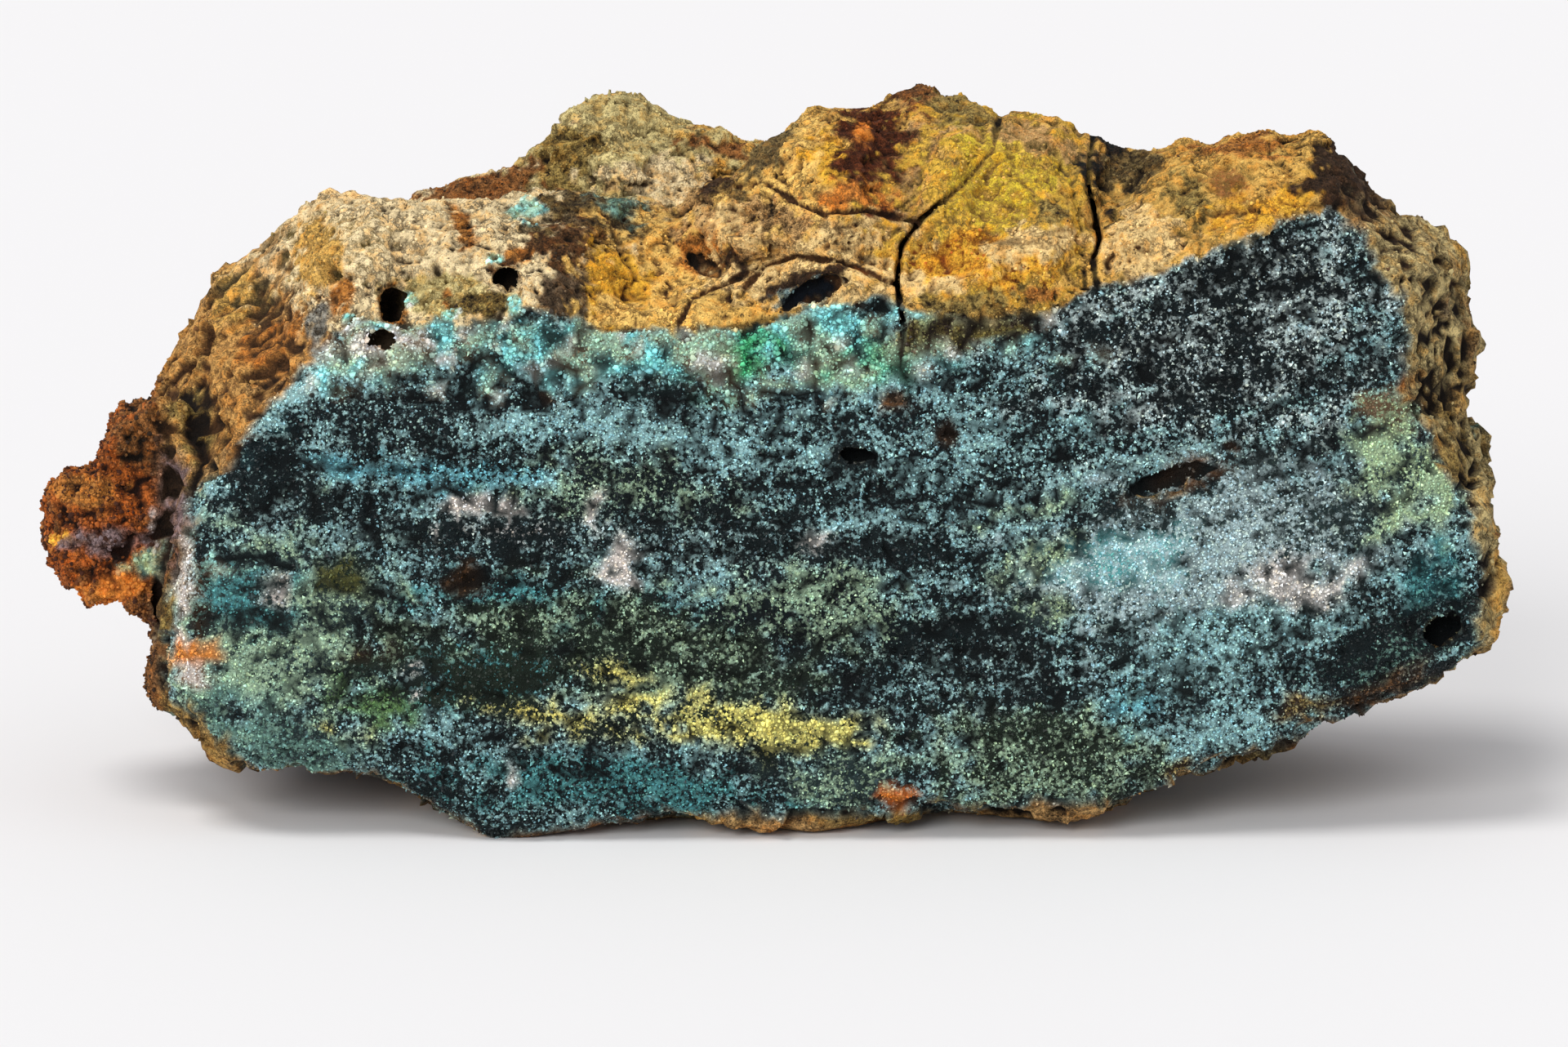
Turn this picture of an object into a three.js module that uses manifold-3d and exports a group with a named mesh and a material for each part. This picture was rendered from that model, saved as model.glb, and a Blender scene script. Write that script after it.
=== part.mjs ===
// A hand-sized piece of rock with a crust of atacamite over its broad front face.
// The stone is one piece. Above the crust its weathered rind steps back in ochre blocks parted by cracks,
// its flanks fall away in rusty rock, a gossan lump hangs on at the left and a low ridge stands behind.
//
// Lengths are in millimetres. The stone is drawn as the eye meets it, a little from above: X runs to the
// right, Y away from the eye and Z up the view. It is then tipped by VIEW_TILT to stand on Z = 0.

import * as THREE from 'three';
import { ImprovedNoise } from 'three/addons/math/ImprovedNoise.js';
import { mergeVertices } from 'three/addons/utils/BufferGeometryUtils.js';
import Module from 'manifold-3d';

// Driving dimensions
const STONE_WIDTH = 134; // from the tip of the gossan lump to the right flank
const STONE_HEIGHT = 68; // up the view, from the resting edge to the highest block
const STONE_DEPTH = 46; // along the view, low down in the middle
const VIEW_TILT = THREE.MathUtils.degToRad(12); // how far the eye looks down on the stone
const FRONT_CELL = 2.4; // spacing of the points that carry the front relief
const REAR_CELL = 4.6; // the same for the rear, which is plainer
const EYE_DISTANCE = 600; // what lies further from the eye is drawn smaller
const FACE_LEAN = 0.07; // how much the crusted face leans away from the eye, per millimetre of height
const MIDDLE_HEIGHT = 29; // the height that the stone narrows about towards the rear

// The stone's outer edge as drawn, clockwise from the left foot, without the lump and the rear ridge.
const STONE_OUTLINE = [
  [-54.4, 13.0], [-54.6, 19.5], [-53.8, 25.0], [-53.4, 31.5], [-55.4, 35.5], [-56.0, 38.5],
  [-54.6, 41.2], [-53.8, 44.8], [-51.0, 47.6], [-49.7, 50.7], [-46.5, 52.8], [-43.2, 55.7],
  [-39.6, 57.9], [-37.7, 57.8], [-36.9, 56.9], [-33.5, 56.5], [-25.6, 56.9], [-21.2, 57.5],
  [-13.2, 57.4], [-8.5, 56.6], [-5.9, 58.7], [-3.0, 59.4], [-1.2, 62.0], [1.5, 64.0], [3.1, 65.3],
  [5.0, 65.7], [6.9, 65.1], [8.6, 65.6], [10.6, 66.8], [12.3, 67.8], [14.2, 66.5], [15.6, 67.0],
  [17.8, 65.4], [19.8, 64.2], [23.0, 64.5], [25.4, 63.6], [27.6, 61.3], [29.5, 61.1], [32.6, 62.0],
  [34.4, 61.8], [36.2, 62.9], [38.8, 62.2], [40.6, 63.0], [43.5, 63.0], [45.2, 62.0], [46.7, 62.7],
  [48.6, 62.6], [51.3, 60.1], [52.9, 57.0], [56.5, 55.1], [60.0, 53.1], [61.0, 51.5], [61.3, 48.5],
  [62.1, 45.8], [61.4, 41.0], [61.6, 37.6], [63.0, 35.0], [63.1, 31.0], [64.2, 28.5], [64.0, 25.0],
  [65.0, 22.3], [64.2, 19.0], [63.4, 17.0], [58.7, 14.4], [54.2, 13.0], [49.0, 10.8], [44.0, 7.9],
  [40.3, 7.5], [34.4, 5.4], [30.5, 3.5], [27.2, 1.9], [22.3, 2.3], [14.4, 2.7], [8.9, 1.8],
  [3.1, 0.9], [-3.4, 1.4], [-9.0, 2.2], [-18.1, 1.0], [-22.3, 0.2], [-25.6, 0.0], [-28.9, 1.9],
  [-31.9, 3.7], [-34.8, 5.6], [-40.0, 6.8], [-46.8, 6.3], [-49.7, 7.9], [-53.6, 11.0],
];

// The edge of the atacamite crust on the front face, clockwise from the left foot.
const CRUST_OUTLINE = [
  [-54.7, 14.0], [-54.0, 20.0], [-52.9, 25.0], [-52.2, 31.0], [-49.0, 32.6], [-46.9, 36.9],
  [-44.1, 39.9], [-41.0, 43.0], [-38.7, 46.2], [-32.8, 46.0], [-28.5, 45.8], [-22.6, 47.2],
  [-18.3, 46.8], [-15.4, 45.3], [-7.4, 45.4], [-1.5, 45.8], [3.6, 47.6], [9.4, 48.6], [11.6, 47.2],
  [18.1, 46.3], [25.4, 47.4], [28.7, 49.4], [36.3, 51.2], [44.3, 54.5], [49.1, 56.3], [52.0, 53.8],
  [53.2, 50.8], [55.7, 47.9], [56.2, 43.5], [55.5, 40.0], [58.0, 37.0], [58.8, 34.0], [61.2, 31.0],
  [62.0, 28.0], [63.0, 24.0], [62.6, 17.5], [58.7, 14.4], [44.0, 7.9], [30.5, 3.5], [14.4, 2.7],
  [-9.0, 2.2], [-25.6, 0.0], [-34.8, 5.6], [-46.8, 6.3],
];

// The rusty gossan lump that hangs on behind the stone's left edge, from its foot round by the left.
const LUMP_OUTLINE = [
  [-52.6, 10.4], [-55.6, 11.9], [-56.9, 13.4], [-56.7, 15.4], [-55.7, 17.3], [-55.6, 19.2],
  [-57.2, 20.2], [-58.5, 21.4], [-59.8, 21.4], [-61.4, 20.9], [-62.0, 22.2], [-63.4, 22.8],
  [-64.5, 24.6], [-65.0, 26.5], [-64.5, 28.6], [-64.9, 30.9], [-63.6, 32.2], [-62.2, 33.2],
  [-61.0, 33.0], [-60.5, 34.4], [-59.4, 36.2], [-58.6, 37.7], [-57.6, 37.4], [-56.0, 38.6],
  [-52.0, 39.0], [-48.0, 36.0], [-47.0, 24.0], [-48.0, 15.0],
];

// The low ridge behind the left half of the stone, with its knob, from the left round over the top.
const RIDGE_OUTLINE = [
  [-37.0, 50.0], [-34.8, 55.6], [-32.2, 57.0], [-29.6, 57.5], [-27.3, 59.1], [-25.2, 59.7],
  [-23.6, 59.9], [-21.1, 61.9], [-19.0, 63.6], [-17.6, 65.0], [-16.2, 66.3], [-14.4, 66.9],
  [-12.6, 66.8], [-11.4, 65.6], [-10.2, 64.5], [-9.2, 63.7], [-7.2, 63.5], [-5.2, 63.1],
  [-3.4, 62.2], [-1.2, 62.0], [1.4, 60.0], [5.0, 54.0], [5.0, 44.0], [-4.0, 36.0], [-20.0, 33.0],
  [-34.0, 38.0],
];

// Rounded forms on the front. Each is centred at (x, z), reaches (halfWidth, halfHeight) and rises towards
// the eye by `rise`, or sinks where that is negative. `turn` is its slant in degrees and `flat` the share
// of it that is a level top.
const FRONT_FORMS = {
  boss: { x: 4.6, z: 59.4, halfWidth: 8.5, halfHeight: 8.5, rise: 4.6, flat: 0.35 },
  bossPeak: { x: 13.6, z: 63.5, halfWidth: 6.5, halfHeight: 6.5, rise: 3.4, flat: 0.2 },
  bossFurrow: { x: 9.8, z: 61.0, halfWidth: 2.6, halfHeight: 7.5, rise: -2.2, flat: 0.1, turn: 8 },
  yellowBlock: { x: 20.3, z: 57.2, halfWidth: 9.4, halfHeight: 10.0, rise: 5.4, flat: 0.5 },
  yellowToe: { x: 20.0, z: 49.6, halfWidth: 8.6, halfHeight: 3.6, rise: 1.5, flat: 0.4 },
  gully: { x: 30.6, z: 58.0, halfWidth: 3.2, halfHeight: 6.5, rise: -3.6, flat: 0.2, turn: -24 },
  rightFacet: { x: 38.4, z: 57.0, halfWidth: 11.5, halfHeight: 6.4, rise: 2.8, flat: 0.6, turn: 18 },
  rightCorner: { x: 49.4, z: 60.2, halfWidth: 4.8, halfHeight: 5.2, rise: 3.4, flat: 0.2 },
  rightShoulder: { x: 57.4, z: 50.6, halfWidth: 5.2, halfHeight: 6.0, rise: 3.4, flat: 0.2 },
  lens: { x: 3.8, z: 49.4, halfWidth: 7.8, halfHeight: 3.6, rise: 2.2, flat: 0.35 },
  middleBand: { x: 2.2, z: 54.2, halfWidth: 9.8, halfHeight: 3.0, rise: 2.4, flat: 0.4, turn: -6 },
  dish: { x: -9.6, z: 50.4, halfWidth: 6.4, halfHeight: 4.4, rise: -2.6, flat: 0.25, turn: -10 },
  dishToe: { x: -11.0, z: 47.0, halfWidth: 6.0, halfHeight: 2.2, rise: 1.4, flat: 0.3 },
  dishLip: { x: -4.6, z: 55.4, halfWidth: 6.2, halfHeight: 3.4, rise: 3.0, flat: 0.3, turn: -28 },
  rustKnob: { x: -5.4, z: 58.2, halfWidth: 3.0, halfHeight: 2.6, rise: 2.4, flat: 0.2 },
  darkLedge: { x: -16.4, z: 55.6, halfWidth: 6.6, halfHeight: 2.6, rise: 1.6, flat: 0.3 },
  creamHump: { x: -20.4, z: 49.6, halfWidth: 4.6, halfHeight: 5.6, rise: 2.2, flat: 0.3, turn: 12 },
  creamMiddle: { x: -28.0, z: 52.6, halfWidth: 7.4, halfHeight: 5.2, rise: 2.8, flat: 0.3 },
  creamShoulder: { x: -38.2, z: 53.6, halfWidth: 6.4, halfHeight: 5.8, rise: 4.2, flat: 0.3 },
  creamHollow: { x: -33.6, z: 48.0, halfWidth: 3.6, halfHeight: 2.6, rise: -1.6, flat: 0.2 },
  leftCheek: { x: -48.6, z: 42.6, halfWidth: 4.6, halfHeight: 8.0, rise: 2.6, flat: 0.2, turn: 30 },
  faceBelly: { x: -12.0, z: 24.0, halfWidth: 34.0, halfHeight: 20.0, rise: 1.6, flat: 0.1, turn: 6 },
  faceSwell: { x: 40.0, z: 23.0, halfWidth: 22.0, halfHeight: 11.0, rise: 1.5, flat: 0.1, turn: 22 },
  faceTrough: { x: 36.0, z: 33.4, halfWidth: 11.0, halfHeight: 2.6, rise: -1.5, flat: 0.1, turn: 12 },
  topTrough: { x: -20.0, z: 40.0, halfWidth: 26.0, halfHeight: 3.4, rise: -0.9, flat: 0.1, turn: -3 },
  footPocket: { x: 59.0, z: 19.0, halfWidth: 3.6, halfHeight: 3.0, rise: -2.2, flat: 0.1 },
};

// The same for the rear, where they rise away from the eye: two humps, scars and broken steps.
const REAR_FORMS = {
  ridgeBack: { x: -15.0, z: 50.0, halfWidth: 27.0, halfHeight: 26.0, rise: 8.0, flat: 0.3 },
  rightBuckle: { x: 30.0, z: 34.0, halfWidth: 20.0, halfHeight: 17.0, rise: 3.5, flat: 0.2 },
  leftScar: { x: -46.0, z: 26.0, halfWidth: 21.0, halfHeight: 20.0, rise: -3.5, flat: 0.55, turn: 20 },
  middleSlab: { x: -6.0, z: 27.0, halfWidth: 22.0, halfHeight: 10.0, rise: 4.5, flat: 0.72, turn: -14 },
  rightScar: { x: 45.0, z: 44.0, halfWidth: 15.0, halfHeight: 12.0, rise: -4.5, flat: 0.65, turn: -30 },
  lowStep: { x: 20.0, z: 9.0, halfWidth: 26.0, halfHeight: 8.0, rise: -4.0, flat: 0.7, turn: 6 },
  topStep: { x: 16.0, z: 56.0, halfWidth: 16.0, halfHeight: 8.0, rise: -3.5, flat: 0.6, turn: 10 },
};

// Cracks, each a run of points as drawn, with its width at the middle and its depth behind the front.
const CRACKS = [
  {
    width: 0.75,
    depth: 5,
    path: [
      [20.2, 66.0], [19.2, 61.4], [16.7, 58.5], [12.9, 55.3], [11.1, 53.0], [10.7, 49.7],
      [11.3, 45.7], [11.0, 42.4], [12.0, 39.4],
    ],
  },
  {
    width: 0.9,
    depth: 6,
    path: [[28.2, 63.0], [27.7, 58.5], [28.4, 55.6], [28.8, 53.6], [28.2, 51.5], [28.7, 48.8]],
  },
  { width: 0.55, depth: 2.2, path: [[-1.0, 58.6], [1.7, 56.8], [4.3, 55.8], [7.9, 56.2], [12.6, 55.0]] },
  { width: 0.5, depth: 1.8, path: [[-3.4, 48.6], [-1.0, 51.3], [1.4, 52.0], [5.8, 51.6], [10.9, 49.4]] },
  { width: 0.5, depth: 1.8, path: [[-8.9, 45.6], [-7.6, 48.2], [-4.0, 49.9], [-1.6, 51.2]] },
  { width: 0.5, depth: 1.5, path: [[8.8, 34.4], [8.1, 30.8], [8.6, 28.2], [10.6, 24.2]] },
];

// Open hollows: middle, half sizes, slant across the view in degrees.
const HOLLOWS = [
  { x: -34.3, z: 47.8, half: [1.2, 2.2, 1.4], turn: 10 }, // hole in the cream rind
  { x: -24.1, z: 50.1, half: [1.2, 2.2, 0.9], turn: -30 }, // hole beside the cream hump
  { x: -35.3, z: 44.7, half: [1.0, 2.4, 0.8], turn: 0 }, // hole in the turquoise band
  { x: 2.9, z: 48.9, half: [4.2, 1.8, 1.1], turn: 22 }, // black slot in the ochre lens
  { x: 35.4, z: 32.2, half: [4.4, 0.9, 1.2], turn: 14 }, // brown pocket in the face
  { x: -27.4, z: 23.2, half: [2.2, 1.1, 1.7], turn: 20 }, // shallow pock, left
  { x: 7.2, z: 34.3, half: [1.7, 1.6, 0.8], turn: 6 }, // small hole above the hair crack
  { x: 59.4, z: 18.6, half: [2.2, 1.3, 1.2], turn: 30 }, // pocket at the right foot
];

// Everything is drawn between these two depths.
const FRONT_LIMIT = -20;
const REAR_LIMIT = 60;

const { clamp, degToRad, lerp, smoothstep } = THREE.MathUtils;
const perlin = new ImprovedNoise();

// Noise of about -1 to 1 whose lumps are `size` millimetres across.
function lumps(point, size, seed) {
  return perlin.noise(point.x / size + seed, point.y / size - 2 * seed, point.z / size + 3 * seed);
}

// The same over the drawing's plane.
function flatLumps(x, z, size, seed) {
  return lumps({ x, y: 0, z }, size, seed);
}

// Distance from a point to a closed outline, negative inside it.
function distanceOutside(outline, x, z) {
  let nearest = Infinity;
  let inside = false;
  outline.forEach(([ax, az], i) => {
    const [bx, bz] = outline[(i + 1) % outline.length];
    const share = ((x - ax) * (bx - ax) + (z - az) * (bz - az)) / ((bx - ax) ** 2 + (bz - az) ** 2);
    const t = clamp(share, 0, 1);
    nearest = Math.min(nearest, Math.hypot(x - ax - t * (bx - ax), z - az - t * (bz - az)));
    if (az > z !== bz > z && x < ((bx - ax) * (z - az)) / (bz - az) + ax) inside = !inside;
  });
  return inside ? -nearest : nearest;
}

// How fully a form stands at a point: 1 on its level top, falling smoothly to 0 at its edge.
function standing(form, x, z) {
  const slant = degToRad(form.turn ?? 0);
  const across = (x - form.x) * Math.cos(slant) + (z - form.z) * Math.sin(slant);
  const along = (z - form.z) * Math.cos(slant) - (x - form.x) * Math.sin(slant);
  return 1 - smoothstep(Math.hypot(across / form.halfWidth, along / form.halfHeight), form.flat, 1);
}

// Depth of the front surface. Beyond the crust the rind falls back, gently on top and steeply at the flanks.
function frontDepth(x, z) {
  const RIND_SLOPE = 0.85;
  const FLANK_SLOPE = 1.7;
  const RIND_LUMPS = 1.7;
  const EDGE_ROUNDING = 2.4;
  const ROUNDED_WIDTH = 3.2;
  const beyondCrust = Math.max(0, distanceOutside(CRUST_OUTLINE, x, z));
  const insideEdge = clamp(-distanceOutside(STONE_OUTLINE, x, z) / ROUNDED_WIDTH, 0, 1);
  const slope = lerp(RIND_SLOPE, FLANK_SLOPE, smoothstep(Math.abs(x - 4), 36, 50));
  let depth = FACE_LEAN * (z - MIDDLE_HEIGHT) + beyondCrust * slope;
  depth += EDGE_ROUNDING * (1 - insideEdge) ** 2;
  for (const form of Object.values(FRONT_FORMS)) depth -= form.rise * standing(form, x, z);
  const lumpiness = RIND_LUMPS * smoothstep(beyondCrust, 0, 3);
  return depth + lumpiness * (flatLumps(x, z, 6.1, 8.8) + 0.6 * flatLumps(x, z, 3.3, 3.1));
}

// Depth of the rear surface, which closes in on the front towards the top and the two ends.
function rearDepth(x, z) {
  const TOP_CLOSING = 15;
  const END_CLOSING = 15;
  const REAR_LUMPS = 3.4;
  let depth = STONE_DEPTH - TOP_CLOSING * (Math.max(z, 0) / STONE_HEIGHT) ** 1.6;
  depth -= END_CLOSING * (2 * Math.abs(x) / STONE_WIDTH) ** 3;
  for (const form of Object.values(REAR_FORMS)) depth += form.rise * standing(form, x, z);
  return depth + REAR_LUMPS * (flatLumps(x, z, 17, 4.4) + 0.5 * flatLumps(x, z, 8.3, 9.1));
}

const wasm = await Module();
wasm.setup();

// A closed three.js geometry as a solid that can be joined and cut.
function solidOf(geometry) {
  const bare = geometry.index ? geometry.toNonIndexed() : geometry;
  const onlyPoints = new THREE.BufferGeometry().setAttribute('position', bare.getAttribute('position'));
  const merged = mergeVertices(onlyPoints, 1e-4);
  return new wasm.Manifold(new wasm.Mesh({
    numProp: 3,
    vertProperties: new Float32Array(merged.attributes.position.array),
    triVerts: new Uint32Array(merged.index.array),
  }));
}

function geometryOf(solid) {
  const mesh = solid.getMesh();
  const geometry = new THREE.BufferGeometry();
  geometry.setAttribute('position', new THREE.BufferAttribute(mesh.vertProperties, 3));
  return geometry.setIndex(new THREE.BufferAttribute(mesh.triVerts, 1));
}

// Moves every vertex of a geometry by a function that changes the point it is given.
function moveVertices(geometry, move) {
  const position = geometry.getAttribute('position');
  const point = new THREE.Vector3();
  for (let i = 0; i < position.count; i++) {
    point.fromBufferAttribute(position, i);
    move(point);
    position.setXYZ(i, point.x, point.y, point.z);
  }
  return geometry;
}

// A shape drawn in X and Z, carried back from y = start to y = end.
function carriedBack(points, start, end, steps = 1) {
  const shape = new THREE.Shape(points.map(([x, z]) => new THREE.Vector2(x, z)));
  const geometry = new THREE.ExtrudeGeometry(shape, { depth: end - start, steps, bevelEnabled: false });
  return geometry.rotateX(Math.PI / 2).translate(0, end, 0);
}

// A block whose front follows a depth function and whose rear is far behind the stone.
function reliefBlock(depthAt, cell) {
  const MARGIN = 5;
  const width = STONE_WIDTH + 2 * MARGIN;
  const height = STONE_HEIGHT + 2 * MARGIN;
  const [across, up] = [width, height].map((length) => Math.round(length / cell));
  const block = new THREE.BoxGeometry(width, 2, height, across, 1, up).translate(0, 0, STONE_HEIGHT / 2);
  return moveVertices(block, (p) => {
    p.y = p.y < 0 ? depthAt(p.x, p.z) : REAR_LIMIT + 10;
  });
}

// The stone narrows towards its rear, and its underside sooner than its top and flanks.
function narrowTowardsRear(point) {
  const WIDEST_DEPTH = 18;
  const UNDERSIDE_DEPTH = 8;
  const NARROWING = 0.42;
  const scaleBeyond = (depth) => 1 - NARROWING * (Math.max(0, point.y - depth) / STONE_DEPTH) ** 1.3;
  const scaleUp = scaleBeyond(point.z < MIDDLE_HEIGHT ? UNDERSIDE_DEPTH : WIDEST_DEPTH);
  point.x *= scaleBeyond(WIDEST_DEPTH);
  point.z = MIDDLE_HEIGHT + (point.z - MIDDLE_HEIGHT) * scaleUp;
}

// Small uneven broken faces all over, finer on the crusted front than on the sides and rear.
function roughen(point, share = 1) {
  const behind = smoothstep(point.y, 5, 20);
  const coarse = share * lerp(0.35, 2.2, behind);
  const fine = share * lerp(0.3, 1.0, behind);
  const from = point.clone();
  point.x += coarse * lumps(from, 10, 11.2) + fine * lumps(from, 4.1, 17.3);
  point.y += coarse * lumps(from, 10, 21.7) + fine * lumps(from, 4.1, 27.1);
  point.z += coarse * lumps(from, 10, 31.4) + fine * lumps(from, 4.1, 37.9);
}

// Sets a drawn point in its true place: what lies further off was drawn smaller, about the view's centre.
function openOut(point) {
  const VIEW_CENTRE_HEIGHT = 28;
  const scale = 1 + point.y / EYE_DISTANCE;
  point.x *= scale;
  point.z = VIEW_CENTRE_HEIGHT + (point.z - VIEW_CENTRE_HEIGHT) * scale;
}

// A mass of rock inside a drawn outline, between a front and a rear depth function, weathered by `weather`.
function drawnMass({ outline, front, rear, cell, steps, weather }) {
  const weathered = (geometry) => solidOf(moveVertices(geometry, weather));
  const walls = weathered(carriedBack(outline, FRONT_LIMIT, REAR_LIMIT, steps));
  const relief = weathered(reliefBlock(front, cell));
  const behind = weathered(reliefBlock(rear, REAR_CELL));
  return walls.intersect(relief).subtract(behind);
}

function mainMass() {
  return drawnMass({
    outline: STONE_OUTLINE,
    front: frontDepth,
    rear: rearDepth,
    cell: FRONT_CELL,
    steps: 20,
    weather: (p) => {
      narrowTowardsRear(p);
      roughen(p);
      openOut(p);
    },
  });
}

// The gossan lump: spongy, jagged and set back behind the stone's left edge.
function gossanLump() {
  const FRONT = 7.5;
  const REAR = 21;
  const CREST_X = -58;
  const JOIN = { inner: 52, outer: 58, jaggedness: 0.3 }; // nearly even where it meets the stone
  const jagged = (x, z, seed) => {
    const height = 2.6 * flatLumps(x, z, 3.6, seed) + 1.2 * flatLumps(x, z, 1.9, seed);
    return height * lerp(JOIN.jaggedness, 1, smoothstep(-x, JOIN.inner, JOIN.outer));
  };
  return drawnMass({
    outline: LUMP_OUTLINE,
    front: (x, z) => FRONT + 0.05 * Math.max(0, CREST_X - x) ** 2 + jagged(x, z, 5.7),
    rear: (x, z) => REAR - 0.04 * (x - CREST_X) ** 2 + jagged(x, z, 9.3),
    cell: 2.8,
    steps: 26,
    weather: (p) => {
      roughen(p);
      openOut(p);
    },
  });
}

// The rear ridge: a hump that rises to the knob and falls away to the right.
function rearRidge() {
  const FRONT = { depth: 22, foot: 54, slope: 0.55, lumpiness: 2 };
  const REAR = { depth: 43, foot: 50, slope: 0.3, lumpiness: 2.4 };
  const CREST_X = -11;
  const END_CLOSING = 0.016; // how fast the rear closes in to either side of the crest
  const KNOB = { x: -14.0, z: 62.0, halfWidth: 7.0, halfHeight: 9.0, flat: 0.2 };
  const KNOB_RISE = 3.5;
  const frontAt = (x, z) => {
    const leaning = FRONT.depth + FRONT.slope * Math.max(0, z - FRONT.foot);
    return leaning - KNOB_RISE * standing(KNOB, x, z) + FRONT.lumpiness * flatLumps(x, z, 5, 2.9);
  };
  const rearAt = (x, z) => {
    const leaning = REAR.depth - REAR.slope * Math.abs(z - REAR.foot);
    return leaning - END_CLOSING * (x - CREST_X) ** 2 + REAR.lumpiness * flatLumps(x, z, 7, 6.2);
  };
  return drawnMass({
    outline: RIDGE_OUTLINE,
    front: frontAt,
    rear: rearAt,
    cell: 3.2,
    steps: 20,
    weather: (p) => {
      roughen(p, 0.6);
      openOut(p);
    },
  });
}

// A thin jagged wedge along a path, widest in its middle and pointed at both ends.
function crack({ path, width, depth }) {
  const END_WIDTH = 0.35; // as a share of the width at the middle
  const line = path.map(([x, z]) => new THREE.Vector2(x, z));
  const last = line.length - 1;
  const sideOf = (i) => {
    const direction = line[Math.min(i + 1, last)].clone().sub(line[Math.max(i - 1, 0)]).normalize();
    const half = (width / 2) * Math.max(END_WIDTH, Math.sin((Math.PI * i) / last));
    return new THREE.Vector2(-direction.y, direction.x).multiplyScalar(half);
  };
  const left = line.map((p, i) => p.clone().add(sideOf(i)));
  const right = line.map((p, i) => p.clone().sub(sideOf(i))).reverse();
  const outline = [...right, ...left].map((p) => [p.x, p.y]);
  const BEFORE_STONE = -12;
  const wedge = carriedBack(outline, BEFORE_STONE, 0);
  return solidOf(moveVertices(wedge, (p) => {
    if (p.y > BEFORE_STONE / 2) p.y = frontDepth(p.x, p.z) + depth;
    openOut(p);
  }));
}

function hollow({ x, z, half, turn }) {
  const geometry = new THREE.IcosahedronGeometry(1, 2);
  moveVertices(geometry, (p) => p.multiplyScalar(1 + 0.25 * lumps(p, 0.8, x)));
  geometry.scale(...half).rotateY(-degToRad(turn)).translate(x, frontDepth(x, z), z);
  return solidOf(moveVertices(geometry, openOut));
}

// Everything below the surface that the stone stands on.
function ground() {
  const SIZE = 400;
  return solidOf(new THREE.BoxGeometry(SIZE, SIZE, SIZE).translate(0, 0, -SIZE / 2));
}

function makeStone() {
  let stone = mainMass().add(gossanLump()).add(rearRidge());
  for (const line of CRACKS) stone = stone.subtract(crack(line));
  for (const pit of HOLLOWS) stone = stone.subtract(hollow(pit));
  const tipped = solidOf(geometryOf(stone).rotateX(-VIEW_TILT));
  return geometryOf(tipped.subtract(ground()));
}

const geometry = makeStone();
geometry.computeBoundingBox();
const { min, max } = geometry.boundingBox;

const rock = new THREE.Mesh(geometry, new THREE.MeshStandardMaterial({
  color: 0x5d7273,
  roughness: 0.9,
  metalness: 0,
}));
rock.name = 'atacamite_rock';
rock.position.set(-(min.x + max.x) / 2, -(min.y + max.y) / 2, 0);

const specimen = new THREE.Group();
specimen.add(rock);

export default specimen;
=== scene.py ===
# %% [markdown]
# This lesson dresses a plain solid stone as a specimen of atacamite on its parent rock.
# The real object is one hand-sized rock. Its broad front face carries a sugary crust of tiny copper
# crystals, from near black to pale blue, with turquoise along the top and sulphur yellow low down. Above
# the crust the rock weathered into cream and ochre blocks parted by cracks. A rusty lump hangs on at the
# left, and the back is broken brown rock.
# The solid's main forms are right, so it could be kept and given a material. Its faces are millimetres
# wide, though, and a stone is looked at from a hand's breadth. So a fine skin takes its place, and real
# crystals grow on that.

import math

import bmesh
import bpy
import numpy as np
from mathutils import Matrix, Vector


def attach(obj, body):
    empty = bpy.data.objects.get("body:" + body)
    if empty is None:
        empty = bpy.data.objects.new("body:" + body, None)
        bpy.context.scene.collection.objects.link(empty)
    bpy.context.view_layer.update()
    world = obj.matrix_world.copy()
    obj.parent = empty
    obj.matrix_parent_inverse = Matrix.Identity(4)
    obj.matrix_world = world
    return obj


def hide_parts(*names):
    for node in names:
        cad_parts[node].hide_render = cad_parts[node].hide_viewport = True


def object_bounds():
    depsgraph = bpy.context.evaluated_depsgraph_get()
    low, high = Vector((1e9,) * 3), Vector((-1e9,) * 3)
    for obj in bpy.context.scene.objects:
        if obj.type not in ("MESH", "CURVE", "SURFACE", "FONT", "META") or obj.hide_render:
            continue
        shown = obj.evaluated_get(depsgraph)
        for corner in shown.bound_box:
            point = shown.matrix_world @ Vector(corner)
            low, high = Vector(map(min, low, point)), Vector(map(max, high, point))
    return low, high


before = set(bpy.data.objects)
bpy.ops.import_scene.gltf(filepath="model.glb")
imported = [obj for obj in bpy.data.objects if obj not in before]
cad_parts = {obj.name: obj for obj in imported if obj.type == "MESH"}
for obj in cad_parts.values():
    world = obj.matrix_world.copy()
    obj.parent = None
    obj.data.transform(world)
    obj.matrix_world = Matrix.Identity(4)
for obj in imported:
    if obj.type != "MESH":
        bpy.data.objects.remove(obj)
NODE = "atacamite_rock"
MM = 0.001
cad_box = [list(corner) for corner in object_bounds()]
print("The stone is", [round((hi - lo) / MM, 1) for lo, hi in zip(*cad_box)], "mm")

# %% [markdown]
# The stone's forms were drawn as an eye meets them: across the view, up the view, and away from the eye.
# The eye looks down by 12 degrees from 600 mm. The camera goes where that eye was, and every colour below
# is placed in the same drawing, in millimetres. The other way would be to place colours on the stone
# itself, and then each one would have to be found again on a slanted surface.

# %% The drawing and the camera
VIEW_TILT = math.radians(12)
EYE_DISTANCE = 600.0
EYE_HEIGHT = 28.0
DRAWING_ORIGIN = (0.521, -27.005)  # where the drawing's origin stands on the table
FRAME_CENTRE = (0.65, 28.2)  # the middle of the picture, across and up the drawing
FRAME_WIDTH = 139.8
SENSOR_WIDTH = 36.0
COS, SIN = math.cos(VIEW_TILT), math.sin(VIEW_TILT)


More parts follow.
